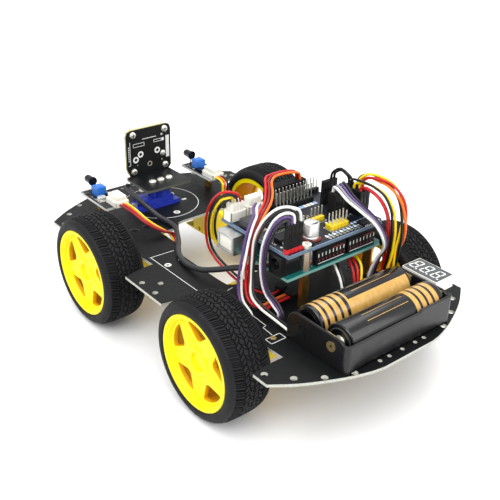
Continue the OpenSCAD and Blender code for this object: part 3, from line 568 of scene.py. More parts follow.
# ---------------------------------------------------------------- leads and the head cable
B = {}
B["a"] = ("left", ["red", "black"],
 [[-18,18.4,89.6],[-20,22,95],[-19,27,97.4],[-14,29.6,95],[-8,30,88],[-2,28.6,78],[1,27,68],[0,26,58],[-5,25,52],[-16,26,50],[-28,27,49],[-39,25,48],[-46,20,47],[-46,14,47]],
 [[1,1.4,0],[.9,1.1,-1],[.3,.2,-1.8],[-.6,-.4,-1.6],[-1,-.8,-1.2],[-1.1,-1.2,-.4],[-1.1,-1.3,0],[-1,-1.4,.2],[-.4,-1.6,.6],[0,-1.6,.8],[0,-1.6,.8],[.8,-1.5,.6],[1.6,-.8,.4],[1.8,0,0]])
B["a2"] = ("left", ["yellow", "black"],
 [[-16,21.2,89.6],[-18.2,24.2,93],[-18.4,27.4,93.8],[-15.2,28.8,91.8],[-10,28.4,85.6],[-4.2,26.2,77.2],[-1.2,24.4,68],[-2,22.4,60],[-10,19,57],[-24,14,59],[-36,10,62],[-39,9,65.2]],
 [[1,1.4,0],[.9,1.1,-1],[.3,.2,-1.8],[-.6,-.4,-1.6],[-1,-.8,-1.2],[-1.1,-1.2,-.4],[-1.1,-1.3,0],[-1,-1.4,.4],[.4,-1.8,.2],[.4,-1.8,0],[0,-1.8,0],[0,-1.8,0]])
B["b"] = ("left", ["orange", "dred", "red"],
 [[-16.6,-25,90.6],[-17,-23,95],[-17,-14,97],[-17,-6,97],[-19.4,-1.6,95.4],[-24.6,2,92.4],[-29.8,7.7,89.8],[-35.9,17.4,87.4],[-41.6,25.9,84.6],[-44.1,30,77],[-44,30.8,68],[-44,31.6,59],[-47.4,33.4,52],[-50.6,33.6,48],[-52,30,47],[-51.4,24,47],[-51,14,47]],
 [[1.6,0,0],[1.6,0,0],[1.6,0,0],[1.6,0,0],[1.8,0.6,0.9],[1.6,1.1,0.6],[1.4,1,0],[1.3,1,0],[1.3,0.9,0.6],[1.4,0.8,0.2],[0.9,1.4,0],[0,1.7,0],[0,1.7,0.3],[-0.8,1.3,0.6],[-1.7,0.4,0],[-1.7,0,0],[-1.7,0,0]])
B["c"] = ("left", ["white", "black"],
 [[-62.2,16.4,95],[-62,18,101],[-59,23,103],[-55,27,101],[-50,30,94],[-46.4,32,84],[-45.4,32.4,72],[-46.6,33.6,62],[-51,37,55],[-58,37,51],[-67,35.4,48.4],[-77.8,35,47]],
 [[0,2.2,0],[.2,1.8,-.8],[0,.6,-1.8],[-1,0,-1.6],[-1.5,-.4,-1],[-1.8,-.2,-.2],[-1.8,0,0],[-1.7,.2,.6],[-1.2,-.6,1.2],[0,-1.4,1.2],[0,-2,0],[0,-2,0]])
B["c2"] = ("left", ["white", "purple", "dgrey"],
 [[-62.2,20.8,95],[-62.2,21.6,99.6],[-60.6,25.6,101],[-56.8,28.6,97],[-52.6,29.8,88],[-49.8,30.2,78],[-49.8,30.4,66],[-53,30.4,56],[-59,29.4,50],[-62.6,29,47.4],[-62.8,29,45.2]],
 [[0,2,0],[0,1.4,-1.3],[-.4,.6,-1.9],[-1.3,.2,-1.5],[-1.7,0,-.5],[-1.8,0,0],[-1.8,0,0],[-1.6,-.2,.6],[-1.2,-.6,1.1],[-1.7,-.2,.4],[-1.8,0,0]])
B["d"] = ("left", ["white", "purple"],
 [[-19.6,6.4,84.6],[-22.8,9.4,87.4],[-28,15.6,88.8],[-35.4,21.8,88.6],[-40.2,27.6,87.9],[-42.2,31.2,84.2],[-42.8,33.4,78.2],[-43.2,34.8,72.9],[-43.6,36.8,65.4],[-43,37,57.8],[-46.4,38.6,50.6],[-54.6,40,47.6],[-56,40.2,45.2]],
 [[0,2,0],[0.7,1.9,0.2],[1,1.4,0.3],[1.1,1.3,0.3],[1.2,1.2,0.4],[1.3,1.2,0.2],[1.3,1.2,0],[1.3,1.2,0],[1.3,1.1,0],[1.1,1.3,0.4],[0.4,1.6,0.6],[0,1.8,0],[0,1.8,0]])
B["g"] = ("right", ["white", "grey", "purple", "black"],
 [[-44.6,-22.6,93.6],[-46,-22,97],[-52,-19.6,97.4],[-59,-18.6,95],[-66.4,-21,91],[-73,-25.4,85],[-76.4,-28.6,77.5],[-75.2,-31.6,70],[-70.8,-32.4,62.4],[-68,-32,54.5],[-67,-31.6,49],[-66.8,-31.4,45.2]],
 [[0,-2.4,0],[0.1,-2.2,0.3],[0.4,-2,0.5],[0.6,-1.8,0.5],[0.9,-1.4,0.5],[1.1,-1.2,0.5],[0.9,-1.5,0.2],[0.5,-1.7,0],[0.4,-1.7,0],[0.2,-1.75,0],[0.2,-1.75,0],[0.2,-1.75,0]])
B["h1"] = ("right", ["yellow", "black", "orange", "red"],
 [[-48.4,-39,93.6],[-48.8,-39.4,98],[-53.8,-40,101.4],[-60.4,-40.2,102],[-68.4,-41,100.6],[-75.4,-41.6,94.6],[-78.4,-41.6,84.6],[-78,-42,75],[-75.8,-42.4,66.5],[-74.2,-42.6,57.5],[-73.4,-42.6,50],[-73.2,-42.6,45.2]], None)
B["h2"] = ("right", ["red", "red"],
 [[-52.6,-37.7,93.6],[-53.6,-37.6,95.4],[-60,-36.4,95.6],[-66.6,-36.4,93],[-70.4,-37.6,87],[-71.6,-39,79],[-71.4,-40.2,70],[-71,-41,62],[-70.4,-40.8,54],[-70,-40.4,45.2]],
 [[0,2.4,0],[0.4,2.2,0.6],[0.2,1.8,0.8],[-0.3,1.8,0.8],[-0.8,1.7,0.2],[-0.4,1.8,0],[0.4,1.8,0],[0.4,1.8,0],[0.3,1.8,0],[0.3,1.8,0]])
B["h4"] = ("right", ["yellow", "black"],
 [[-47.4,-35.6,93.6],[-48.4,-35.8,96.6],[-55,-37.2,98],[-62,-37,98.2],[-69,-37.6,95.6],[-74,-38.6,88],[-75.8,-38.9,79],[-75.4,-39.4,70],[-74.8,-39.4,62],[-73.6,-38.8,54],[-73.2,-38.4,45.2]],
 [[2.4,0,0],[2,0.8,1.7],[0.6,1.7,1.2],[0,1.8,0.8],[0,1.8,0.6],[0.6,1.6,0.6],[1.4,1.2,0],[1.7,0.5,0],[1.9,0.2,0],[1.8,0.3,0],[1.8,0.4,0]])
B["h3"] = ("right", ["black", "black"],
 [[-31.3,-36.6,93.6],[-32,-36.8,97],[-36,-37.2,99.4],[-40.4,-37.5,97.6],[-41.4,-37.7,95.6],[-41.4,-37.7,93.6]],
 [[0,2.4,0],[0,2.2,.6],[-.6,1.6,1.6],[-2.2,.8,1],[-2.5,0,0],[-2.5,0,0]])
B["j"] = ("modules", ["white", "black"],
 [[-56,-12,65.2],[-57,-11.6,63],[-63,-9.6,61],[-69,-8,56],[-72.4,-7,49],[-73,-6.6,45.2]],
 [[0,-2,0]] * 6)
B["j2"] = ("modules", ["red", "red", "yellow"],
 [[-50,-24,65.2],[-51,-24,63],[-59,-22,61],[-66,-20,57],[-70,-18,50],[-71,-17,45.2]],
 [[0,-2,0],[0,-2,0],[0,-2.4,.4],[0,-3,.6],[0,-2.4,.6],[0,-1.8,0]])
B["kl"] = ("modules", ["yellow", "red", "dred"],
 [[72.6,34,58.6],[66,34,58.8],[60,33.4,57.6],[54,31.6,54.6],[50,28,51],[47.6,24,47.8],[46.2,20.6,44.6],[42.4,21.2,41.2],[38.6,28,41],[34,35,42],[31,36,43.6]],
 [[0,2,0],[0,2,0],[-.6,1.8,0],[-1,1.6,0],[-1.4,1.2,0],[-1.7,.6,.2],[-1.6,-.4,.7],[-1.2,-1.2,.4],[-1.2,-1.3,0],[-.9,-1.6,0],[-.9,-1.6,0]])
B["kr"] = ("modules", ["yellow", "orange", "black"],
 [[72.6,-34,58.6],[69,-34,58.8],[66,-34.4,57],[65.4,-34.4,51],[66,-33.6,47.4],[66.6,-32.6,45.2]],
 [[0,-2,0]] * 6)
CAB = [[97.6,17.4,58.2],[97.2,18,55.6],[91,19,54.6],[84,19.6,54.2],[75,18.6,52],[65,16.6,48.4],[56,15,47.2],[48,15.4,47],[40,19.4,47],[32,24,47],[24,29.6,47],[16,34,47],[5,36.6,47.2],[-7,36,49.4],[-18,32.6,53.4],[-28,30,58],[-38,25,61],[-45,16,61],[-47.6,11,61.4],[-48,10,65.2]]



def wound(P, k):
    """route of one of the four leads that are wound round each other, as in the CAD"""
    out = []
    for i, p in enumerate(P):
        t = Vector(P[min(i + 1, len(P) - 1)]) - Vector(P[max(i - 1, 0)])
        across = Vector((-t.z, 0, t.x)).normalized()
        a = math.radians(45 + 50 * i + 90 * k)
        r = 1.9 if i == 0 else 1.6 if i == 1 else 1.35
        out.append(Vector(p) + r * (math.cos(a) * across + math.sin(a) * Vector((0, 1, 0))))
    return out


stood = set()
for key, (side, cols, P, S) in B.items():
    for k, colour in enumerate(cols):
        path = smooth(wound(P, k) if S is None else [[p[i] + k * q[i] for i in range(3)] for p, q in zip(P, S)], 7)
        sh = Shape()
        sh.tube(path, 0.7, 0, 12)
        o = sh.make("lead_%s_%d" % (key, k + 1), "chassis", ["lead_" + colour], "lead_insulation", angle=60)
        if side not in stood:
            stood.add(side)
            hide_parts("leads_" + side)
cab_path = smooth(CAB, 7)
sh = Shape()
sh.tube(cab_path, 1.6, 0, 16)
cable = sh.make("head_cable", None, ["lead_dgrey"], "cable_grey", rep=("sensor_cable",), angle=60)
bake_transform(cable)

# ---------------------------------------------------------------- wheels


def tyre_mesh():
    """Tyre with fine cut shoulder blocks and zigzag rows between them, axis along Y, outer side +Y, centred on the axle and on the tread."""
    per = 38
    ps = [0.0, 0.08, 0.11, 0.17, 0.20, 0.28, 0.31, 0.37, 0.40, 0.48, 0.51, 0.57, 0.60, 0.74, 0.79, 0.92, 0.97]
    cut1 = [0, 0, 1, 1, 0, 0, 1, 1, 0, 0, 1, 1, 0, 0, 1.3, 1.3, 0]      # three fine cuts and one wide gap on each shoulder block
    cut2 = [0, 0, 1, 1, 0, 0, 0, 0, 0, 0, 1, 1, 0, 0, 0, 0, 0]          # two cuts on each stretch of the zigzag rows
    cut3 = [0, 0, 0, 0, 0, 0, 1, 1, 0, 0, 0, 0, 0, 0, 1, 1, 0]
    half = [
        # axial place, radius, cut depth on the shoulder, on the inner rows, on the outer rows, all round
        (0.0, 32.5, 0, 0, 0, 1.0), (0.25, 32.5, 0, 0, 0, 1.0), (0.42, 32.5, 0, 0.9, 0, 0), (1.4, 32.5, 0, 1.0, 0, 0), (2.3, 32.49, 0, 0.9, 0, 0),
        (2.45, 32.48, 0, 0, 0, 0.9), (2.8, 32.48, 0, 0, 0, 0.9), (2.95, 32.47, 0, 0, 0.9, 0), (4.0, 32.45, 0, 0, 1.0, 0), (5.0, 32.42, 0, 0, 0.9, 0),
        (5.15, 32.41, 0, 0, 0, 0.9), (5.5, 32.4, 0, 0, 0, 0.9), (5.65, 32.38, 0.8, 0, 0, 0), (6.6, 32.3, 0.9, 0, 0, 0), (7.8, 32.15, 0.9, 0, 0, 0),
        (8.9, 31.9, 0.85, 0, 0, 0), (9.8, 31.6, 0.75, 0, 0, 0), (10.25, 31.42, 0.2, 0, 0, 0), (10.5, 31.3, 0, 0, 0, 0), (11.3, 30.85, 0, 0, 0, 0), (12.0, 30.2, 0, 0, 0, 0),
        (12.5, 29.4, 0, 0, 0, 0), (12.8, 28.5, 0, 0, 0, 0), (12.95, 27.4, 0, 0, 0, 0), (12.9, 26.6, 0, 0, 0, 0), (12.7, 26.0, 0, 0, 0, 0),
        (12.4, 25.7, 0, 0, 0, 0), (11.0, 25.65, 0, 0, 0, 0), (10.2, 25.6, 0, 0, 0, 0), (9.6, 24.6, 0, 0, 0, 0), (0.0, 24.6, 0, 0, 0, 0)]
    rows = [(-u, r, a, b, c, d) for u, r, a, b, c, d in reversed(half[1:-1])] + half[:-1]
    rows = rows + [(0.0, 24.6, 0, 0, 0, 0)]
    n = per * len(ps)
    pitch = 204.2 / per
    verts, faces = [], []
    for u, r, a, b, c, d in rows:
        au = abs(u)
        if au < 2.6:
            skew = -0.85 * au
        elif au < 5.35:
            skew = -2.21 + 0.85 * (au - 2.6)
        else:
            skew = 0.13 - 0.22 * (min(au, 11.0) - 5.35)
        wob = 0.42 * min(1.0, max(0.0, (8.6 - au) / 3.0)) if r > 31.0 else 0.0
        for i in range(per):
            for j, p in enumerate(ps):
                cut = max(a * cut1[j], b * cut2[j], c * cut3[j], d)
                ang = ((i + p) * pitch + skew) / 32.5
                tri = abs(((p * 2) % 2) - 1) * 2 - 1
                rr = r - cut
                verts.append(Vector((rr * math.cos(ang), u + wob * tri, rr * math.sin(ang))))
    m = len(rows)
    for i in range(m):
        i2 = (i + 1) % m
        for k in range(n):
            k2 = (k + 1) % n
            faces.append((i * n + k, i2 * n + k, i2 * n + k2, i * n + k2))
    return verts, faces


def rounded(poly, r, n=4):
    """2-D outline with rounded corners."""
    out = []
    m = len(poly)
    for i in range(m):
        p0, p1, p2 = (Vector((*poly[(i + k) % m], 0)) for k in (-1, 0, 1))
        a, b = (p0 - p1), (p2 - p1)
        k = min(r, a.length * 0.45, b.length * 0.45)
        s, e = p1 + a.normalized() * k, p1 + b.normalized() * k
        for j in range(n + 1):
            t = j / n
            q = s * (1 - t) ** 2 + p1 * 2 * t * (1 - t) + e * t * t
            out.append((q.x, q.y))
    return out


def sheet_with_holes(outline, holes, lo, hi, bev, name="tmp"):
    """Flat plate with rounded-over hole edges, from a filled curve; returns verts, faces with z the thickness."""
    cu = bpy.data.curves.new(name, "CURVE")
    cu.dimensions = "2D"
    cu.fill_mode = "BOTH"
    cu.extrude = (hi - lo) / 2 - bev
    cu.bevel_depth = bev
    cu.bevel_resolution = 2
    cu.offset = -bev
    for pts in [outline] + holes:
        sp = cu.splines.new("POLY")
        sp.points.add(len(pts) - 1)
        for p, q in zip(sp.points, pts):
            p.co = (q[0], q[1], 0, 1)
        sp.use_cyclic_u = True
    o = bpy.data.objects.new(name, cu)
    scene.collection.objects.link(o)
    dg = bpy.context.evaluated_depsgraph_get()
    me = bpy.data.meshes.new_from_object(o.evaluated_get(dg))
    verts = [v.co.copy() for v in me.vertices]
    faces = [tuple(p.vertices) for p in me.polygons]
    bpy.data.objects.remove(o)
    bpy.data.curves.remove(cu)
    bpy.data.meshes.remove(me)
    mid = (hi + lo) / 2
    return [Vector((v.x, v.y, v.z + mid)) for v in verts], faces


def rim_shape():
    """Five-spoke dished rim, axis along Y, outer side +Y at 12.5; same places as the CAD rim."""
    sh = Shape()
    prof = [(22.7, -12.2), (25.2, -12.2), (25.5, -11.9), (25.5, -10.4), (25.2, -10.1), (24.5, -9.6), (24.5, 9.6), (25.2, 10.1), (25.5, 10.3), (25.5, 12.1),
            (25.3, 12.4), (24.9, 12.5), (23.95, 12.5), (23.7, 12.4), (23.5, 12.1), (23.3, 11.5), (22.9, 11.3), (22.6, 10.9), (22.2, 9.6), (21.9, 9.2), (21.5, 9.1),
            (21.5, 6.1), (22.6, 5.0), (22.7, -12.2)]
    sh.rev((0, 0, 0), (0, 1, 0), prof, 0, 120)
    outline = [(21.9 * math.cos(2 * math.pi * k / 96), 21.9 * math.sin(2 * math.pi * k / 96)) for k in range(96)]
    holes = [[(4.8 * math.cos(2 * math.pi * k / 40), -4.8 * math.sin(2 * math.pi * k / 40)) for k in range(40)]]
    for k in range(5):
        a = math.radians(72 * k)
        w = rounded([(12.2, -1.2), (18.7, -8.4), (20.0, -6.4), (21.0, -3.0), (21.2, 0), (21.0, 3.0), (20.0, 6.4), (18.7, 8.4), (12.2, 1.2)], 0.9, 3)
        holes.append([(x * math.cos(a) - y * math.sin(a), x * math.sin(a) + y * math.cos(a)) for x, y in w])
    v, f = sheet_with_holes(outline, holes, 6.1, 9.1, 0.45)
    sh.add([Vector((p.x, p.z, -p.y)) for p in v], f, 0)
    # hub boss towards the gearbox, and the floor of the shallow recess
    sh.rev((0, 0, 0), (0, 1, 0), [(2.75, -19.6), (5.9, -19.6), (6.2, -19.3), (6.9, 3.9), (7.8, 6.2), (5.4, 8.2), (0, 8.3), (0, -4.0), (2.75, -4.0), (2.75, -19.6)], 0, 48)
    # raised boss round the recess and a low ridge along each spoke
    sh.rev((0, 0, 0), (0, 1, 0), [(8.4, 8.9), (8.2, 9.3), (7.4, 10.0), (6.6, 10.2), (5.8, 10.1), (5.0, 9.6), (4.9, 8.9), (8.4, 8.9)], 0, 60)
    for k in range(5):
        a = math.radians(72 * k + 36)
        spine = [(6.8, 3.3, 0.9), (12.0, 3.5, 1.15), (17.0, 3.2, 1.05), (20.6, 2.7, 0.75), (21.7, 2.4, 0.3)]
        vs, fs = [], []
        for r, w, h in spine:
            for u, y in ((-w, 8.95), (-0.5, 9.0 + h), (0.5, 9.0 + h), (w, 8.95)):
                vs.append(Vector((r * math.cos(a) - u * math.sin(a), y, -(r * math.sin(a) + u * math.cos(a)))))
        for i in range(len(spine) - 1):
            for j in range(4):
                fs.append((4 * i + j, 4 * i + (j + 1) % 4, 4 * i + 4 + (j + 1) % 4, 4 * i + 4 + j))
        fs += [(0, 1, 2, 3), (4 * len(spine) - 1, 4 * len(spine) - 2, 4 * len(spine) - 3, 4 * len(spine) - 4)]
        sh.add(vs, fs, 0)
    # walls of the windows, barrel and hub get a darker orange yellow: painted shade of the recesses behind the rim face
    for i, f in enumerate(sh.f):
        top = max(sh.v[j].y for j in f)
        rad = max(math.hypot(sh.v[j].x, sh.v[j].z) for j in f)
        if rad < 22.75 and top < 8.7 and not (rad < 6.0 and top > 5.0):
            sh.m[i] = 1
    return sh


tv, tf = tyre_mesh()
rs = rim_shape()
HALF = 77.0
for c, sx, sy in (("fl", 1, 1), ("fr", 1, -1), ("rl", -1, 1), ("rr", -1, -1)):
    place = Matrix.Translation((sx * 55.0, sy * 64.0, 32.5)) @ (Matrix.Identity(4) if sy > 0 else Matrix.Rotation(math.pi, 4, "Z"))
    turn = place @ Matrix.Rotation(math.radians({"fl": -18, "fr": 54, "rl": -18, "rr": 54}[c]), 4, "Y")
    t = Shape()
    t.add([turn @ v for v in tv], tf, 0)
    t.make("tyre_tread_" + c, "wheel_" + c, ["rubber"], "tyre_rubber", ("tyre_" + c,), 32)
    r = Shape()
    r.add([turn @ v for v in rs.v], rs.f, 0)
    r.m = list(rs.m)
    # second rim material: painted shade on the recessed faces
    r.make("rim_spoked_" + c, "wheel_" + c, ["yellow", "yellow_recess_shade"], "yellow_plastic", ("rim_" + c,), 32)

# ---------------------------------------------------------------- softened CAD edges


def soften(node, width, seg=2):
    md = N[node].modifiers.new("soft_edges", "BEVEL")
    md.width = width * MM
    md.segments = seg
    md.limit_method = "ANGLE"
    md.angle_limit = math.radians(40)


for node, width in (("display_body", 0.35), ("dc_jack", 0.2), ("ir_trimmers", 0.25), ("gearbox_outer", 0.4), ("gearbox_inner", 0.4),
                    ("motor_caps", 0.3), ("usb_socket", 0.22), ("button_base", 0.15), ("servo_case", 0.3), ("servo_horn", 0.2)):
    soften(node, width)

# ---------------------------------------------------------------- battery holder and cells
hx0, hx1 = -118.2, -77.8
cr = 2.6
ends = [(hx0 + cr - 0.5, pz1), (hx1, pz1)]
for cx, a0, a1 in ((hx1 - 7, 0, 90), (hx0 + 7, 90, 132)):
    for k in range(9):
        a = math.radians(a0 + (a1 - a0) * k / 8)
        ends.append((cx + 7 * math.cos(a), pz1 + 9.3 + 7 * math.sin(a)))
sh = Shape()
for lo, hi in ((35.4, 37.0), (-37.0, -35.4)):
    sh.prism(ends, lo, hi, 0, 0.45, "xz")
sh.box(hx0, hx1, -35.6, 35.6, pz1, pz1 + 1.4, 0, 0.2)
sh.prism([(-34.9, pz1), (34.9, pz1), (34.9, pz1 + 14.6), (-12.0, pz1 + 14.6), (-13.2, pz1 + 16), (-34.9, pz1 + 16)], hx0, hx0 + 1.6, 0, 0.45, "yz")
for q, h in ((1, 14.5), (-1, 15.9)):
    bend = [(r, a) for r, A in ((cr, range(0, 91, 10)), (cr - 1.6, range(90, -1, -10))) for a in A]
    sh.prism([(hx0 + cr - r * math.sin(math.radians(a)), q * (37.0 - cr + r * math.cos(math.radians(a)))) for r, a in bend], pz1, pz1 + h, 0, 0.0)
sh.box(hx1 - 1.6, hx1, -36.6, 36.6, pz1, pz1 + 12, 0, 0.45, 2)
sh.box((hx0 + hx1) / 2 - 0.6, (hx0 + hx1) / 2 + 0.6, -35.6, 35.6, pz1, pz1 + 6, 0, 0.2)
# saddles under the cells
for x in (-88.2, -107.8):
    for y in (-22, 0, 22):
        arc = [(x - 9.2, pz1 + 1.2)] + [(x + 9.3 * math.cos(math.radians(a)), cz + 9.3 * math.sin(math.radians(a))) for a in range(200, 341, 10)] + [(x + 9.2, pz1 + 1.2)]
        sh.prism(arc, y - 0.7, y + 0.7, 0, 0.0, "xz")
sh.make("holder_moulding", "chassis", ["holder"], "holder_black", ("battery_holder",), 30)


def cell(name, x, q, mat, slot, node):
    sh = Shape()
    o, d = (x, 0, cz), (0, q, 0)
    sh.rev(o, d, [(0, -32.2), (6.4, -32.2), (6.5, -32.55), (7.8, -32.6), (8.6, -32.35), (9.0, -31.8), (9.1, -31.1), (9.1, 30.2), (9.0, 30.8), (8.6, 31.25), (8.0, 31.4),
                  (7.3, 31.35), (7.1, 31.0), (0, 31.0)], 0, 72)
    sh.rev(o, d, [(0, -32.5), (6.2, -32.5), (6.3, -32.4), (6.3, -31.6), (0, -31.6)], 1, 48)
    sh.rev(o, d, [(0, 30.8), (3.4, 30.8), (3.3, 31.5), (3.05, 31.8), (3.0, 32.9), (2.8, 33.2), (0, 33.2)], 1, 32)
    sh.rev(o, d, [(6.5, 30.9), (7.0, 30.9), (7.0, 31.7), (6.9, 31.8), (6.6, 31.8), (6.5, 31.7), (6.5, 30.9)], 2, 48)
    sh.rev(o, d, [(3.5, 30.9), (6.45, 30.9), (6.45, 31.5), (3.6, 31.5), (3.5, 31.4), (3.5, 30.9)], 3, 48)
    sh.make(name, "chassis", [mat, "steel" if q > 0 else "screw_black", "ferrite", "black_gloss"], slot, (node,), 30)


cell("cell_wrapped_front", -88.2, -1, "cell_front", "cell_gold", "cell_front")
cell("cell_wrapped_rear", -107.8, 1, "cell_rear", "cell_black", "cell_rear")

# ---------------------------------------------------------------- display segments
sh = Shape()
zf = pz1 + 15.6


def seven(u, v):
    """reading from the front to the rear, tops towards the car's right side"""
    u = u + 0.14 * v
    return (-94.1 - u, -46.6 - v)


def bar(cx, cy, L, upright):
    h = 0.34
    p = [(-L / 2, 0), (-L / 2 + h, h), (L / 2 - h, h), (L / 2, 0), (L / 2 - h, -h), (-L / 2 + h, -h)]
    if upright:
        p = [(b, a) for a, b in p]
    sh.prism([seven(cx + a, cy + b) for a, b in p], zf - 0.02, zf + 0.07, 0)


for k in (-1, 0, 1):
    c = 6.9 * k - 0.5
    for v in (-3.8, 0.0, 3.8):
        bar(c, v, 3.1, False)
    for u in (-1.85, 1.85):
        for v in (-1.9, 1.9):
            bar(c + u, v, 3.5, True)
    x, y = seven(c + 3.3, -4.0)
    sh.cyl((x, y, zf - 0.02), (0, 0, 1), 0.52, 0.09, 0, 16, 0.0)
sh.make("display_digits", "chassis", ["segment"], "white_plastic")

# ---------------------------------------------------------------- printing and pads on the chassis board
sh = Shape()
z = pz1
sh.ring(86, 0, 23.85, 24.2, z, 0, 96)
for x, y, r in ((14.2, 43.4, 1.0), (14.9, 33.6, 1.0), (67.7, 0.4, 1.2), (14.2, -43.4, 1.0), (14.9, -33.6, 1.0)):
    sh.ring(x, y, r + 0.05, r + 0.95, z, 0, 32)
sh.box(80.3, 82.3, -16.2, -13.0, z, z + 0.05, 0, 0)
for s in (1, -1):
    sh.line([(27, 47.2 * s), (26.4, 31.3 * s)], 0.34, z)
    sh.line([(26.2, 46.6 * s), (-18, 46.6 * s)], 0.34, z)
    sh.line([(-27.4, 33.6 * s), (-26.7, 29.9 * s)], 0.34, z)
    sh.line([(-53.6, 38.4 * s), (-65.2, 39 * s), (-65.7, 41.3 * s), (-73.2, 41.9 * s)], 0.34, z)
    sh.line([(-74.2, 47.0 * s), (-74.2, 38.0 * s), (-78.9, 38.0 * s), (-78.9, 47.0 * s), (-74.2, 47.0 * s)], 0.36, z)
sh.make("board_print", "chassis", ["silk"], "board_black", angle=20)
sh = Shape()
for s in (1, -1):
    sh.ring(-75.5, s * 43.1, 1.12, 1.6, z, 0, 28, 0.06)
for x, y in ((-75.5, 43.1), (-75.5, -43.1)):
    sh.rev((x, y, pz0), (0, 0, 1), [(0.7, 0), (1.1, 0), (1.1, 1.66), (0.7, 1.66), (0.7, 0)], 0, 24)
sh.make("board_brass_pads", "chassis", ["gold"], "brass", angle=20)

# ---------------------------------------------------------------- pin headers and housings on the boards


def header(sh, x, y, nx, ny, h, base=0, pin=1):
    for i in range(nx):
        for j in range(ny):
            a, b = x + 2.54 * i, y + 2.54 * j
            sh.prism([(a + 0.4, b), (a + 2.14, b), (a + 2.54, b + 0.4), (a + 2.54, b + 2.14), (a + 2.14, b + 2.54), (a + 0.4, b + 2.54), (a, b + 2.14), (a, b + 0.4)],
                     ez1, ez1 + 2.5, base, 0.1)
            sh.box(a + 0.95, a + 1.59, b + 0.95, b + 1.59, ez1 + 1.0, ez1 + h, pin, 0.14)


sh = Shape()
header(sh, -58, -22.6, 2, 5, 8.6)
header(sh, -46, -16.4, 1, 4, 8.6)
sh.make("pin_rows_yellow", "chassis", ["pin_yellow", "tinned"], "pin_yellow", ("headers_yellow",), 30)
sh = Shape()
header(sh, -21, -28.6, 1, 11, 11)
header(sh, -25, -28.6, 1, 11, 11)
header(sh, -17.4, -40, 1, 4, 10)
header(sh, -52, 0, 2, 4, 8.6)
sh.make("pin_rows_black", "chassis", ["black_matt", "tinned"], "part_black", ("headers_black",), 30)
sh = Shape()
for k in range(4):
    y = 15.3 + 2.725 * k
    sh.prism([(-63.2, y), (-61.1, y), (-60.7, y + 0.4), (-60.7, y + 2.32), (-61.1, y + 2.72), (-63.2, y + 2.72), (-63.6, y + 2.32), (-63.6, y + 0.4)], ez1, ez1 + 2.5, 0, 0.12)
sh.make("pin_row_red", "chassis", ["red"], "pin_red", ("headers_red",), 30)


def housings(sh, x0, x1, y0, y1, z0, z1, nx, ny, face):
    """crimp housings side by side; face is the side that carries the latch windows"""
    wx, wy = (x1 - x0) / nx, (y1 - y0) / ny
    for i in range(nx):
        for j in range(ny):
            a, b = x0 + wx * i, y0 + wy * j
            sh.box(a + 0.04, a + wx - 0.04, b + 0.04, b + wy - 0.04, z0, z1, 0, 0.22)
            # near-black square on the top: painted shade for the lead opening
            sh.box(a + wx / 2 - 0.75, a + wx / 2 + 0.75, b + wy / 2 - 0.75, b + wy / 2 + 0.75, z1 - 0.2, z1 + 0.12, 1, 0.2)
            zc = z0 + (z1 - z0) * 0.62
            if face == "-x" and i == 0:
                sh.box(a - 0.1, a + 0.2, b + wy / 2 - 0.55, b + wy / 2 + 0.55, zc - 1.6, zc + 1.6, 2, 0.08)
            if face == "+y" and j == ny - 1:
                sh.box(a + wx / 2 - 0.55, a + wx / 2 + 0.55, b + wy - 0.2, b + wy + 0.1, zc - 1.6, zc + 1.6, 2, 0.08)


sh = Shape()
housings(sh, -17.8, -12.4, -28.8, -1.6, ez1, ez1 + 11, 2, 10, "-x")
housings(sh, -32.6, -30, -38.4, -28, ez1, ez1 + 14, 1, 4, "-x")
housings(sh, -48.8, -43.2, -33.6, -20.6, ez1, ez1 + 14, 2, 5, "-x")
housings(sh, -54, -40, -41.6, -34, ez1, ez1 + 14, 5, 3, "-x")
housings(sh, -63.4, -60.9, 15.4, 26, ez1 + 2.5, ez1 + 15.4, 1, 4, "-x")
sh.box(-47.4, -42.8, 9, 14, pz1, pz1 + 3.8, 0, 0.3)
sh.box(-56, -49.6, 9, 14, pz1, pz1 + 3.8, 0, 0.3)
sh.make("crimp_housings", "chassis", ["black_matt", "housing_opening_shade", "black_gloss"], "part_black", ("jumper_housings",), 30)


def socket(sh, x0, x1, y0, y1, z, h, along, n):
    """shrouded header with its plug: walls, latch ribs and one chamber per lead"""
    t = 0.8
    zm = z + h * 0.55
    sh.box(x0, x1, y0, y0 + t, z, zm, 0, 0.18)
    sh.box(x0, x1, y1 - t, y1, z, zm, 0, 0.18)
    sh.box(x0, x0 + t, y0, y1, z, zm, 0, 0.18)
    sh.box(x1 - t, x1, y0, y1, z, zm, 0, 0.18)
    sh.box(x0 + t * 0.6, x1 - t * 0.6, y0 + t * 0.6, y1 - t * 0.6, z, zm - 0.7, 0, 0.1)
    a0, a1, b0, b1 = x0 + 1.0, x1 - 1.0, y0 + 1.0, y1 - 1.0
    for k in range(n):
        if along == "y":
            w = (b1 - b0) / n
            sh.box(a0, a1, b0 + w * k + 0.12, b0 + w * (k + 1) - 0.12, zm - 2.0, z + h, 0, 0.25)
            sh.box(a0 - 0.35, a0 + 0.1, b0 + w * (k + 0.5) - 0.3, b0 + w * (k + 0.5) + 0.3, zm - 0.4, z + h - 0.8, 0, 0.1)
        else:
            w = (a1 - a0) / n
            sh.box(a0 + w * k + 0.12, a0 + w * (k + 1) - 0.12, b0, b1, zm - 2.0, z + h, 0, 0.25)
            sh.box(a0 + w * (k + 0.5) - 0.3, a0 + w * (k + 0.5) + 0.3, b1 - 0.1, b1 + 0.35, zm - 0.4, z + h - 0.8, 0, 0.1)
    sh.box(a0 + 0.2, a1 - 0.2, b0 + 0.2, b1 - 0.2, zm - 2.0, z + h - 0.6, 0, 0.1)


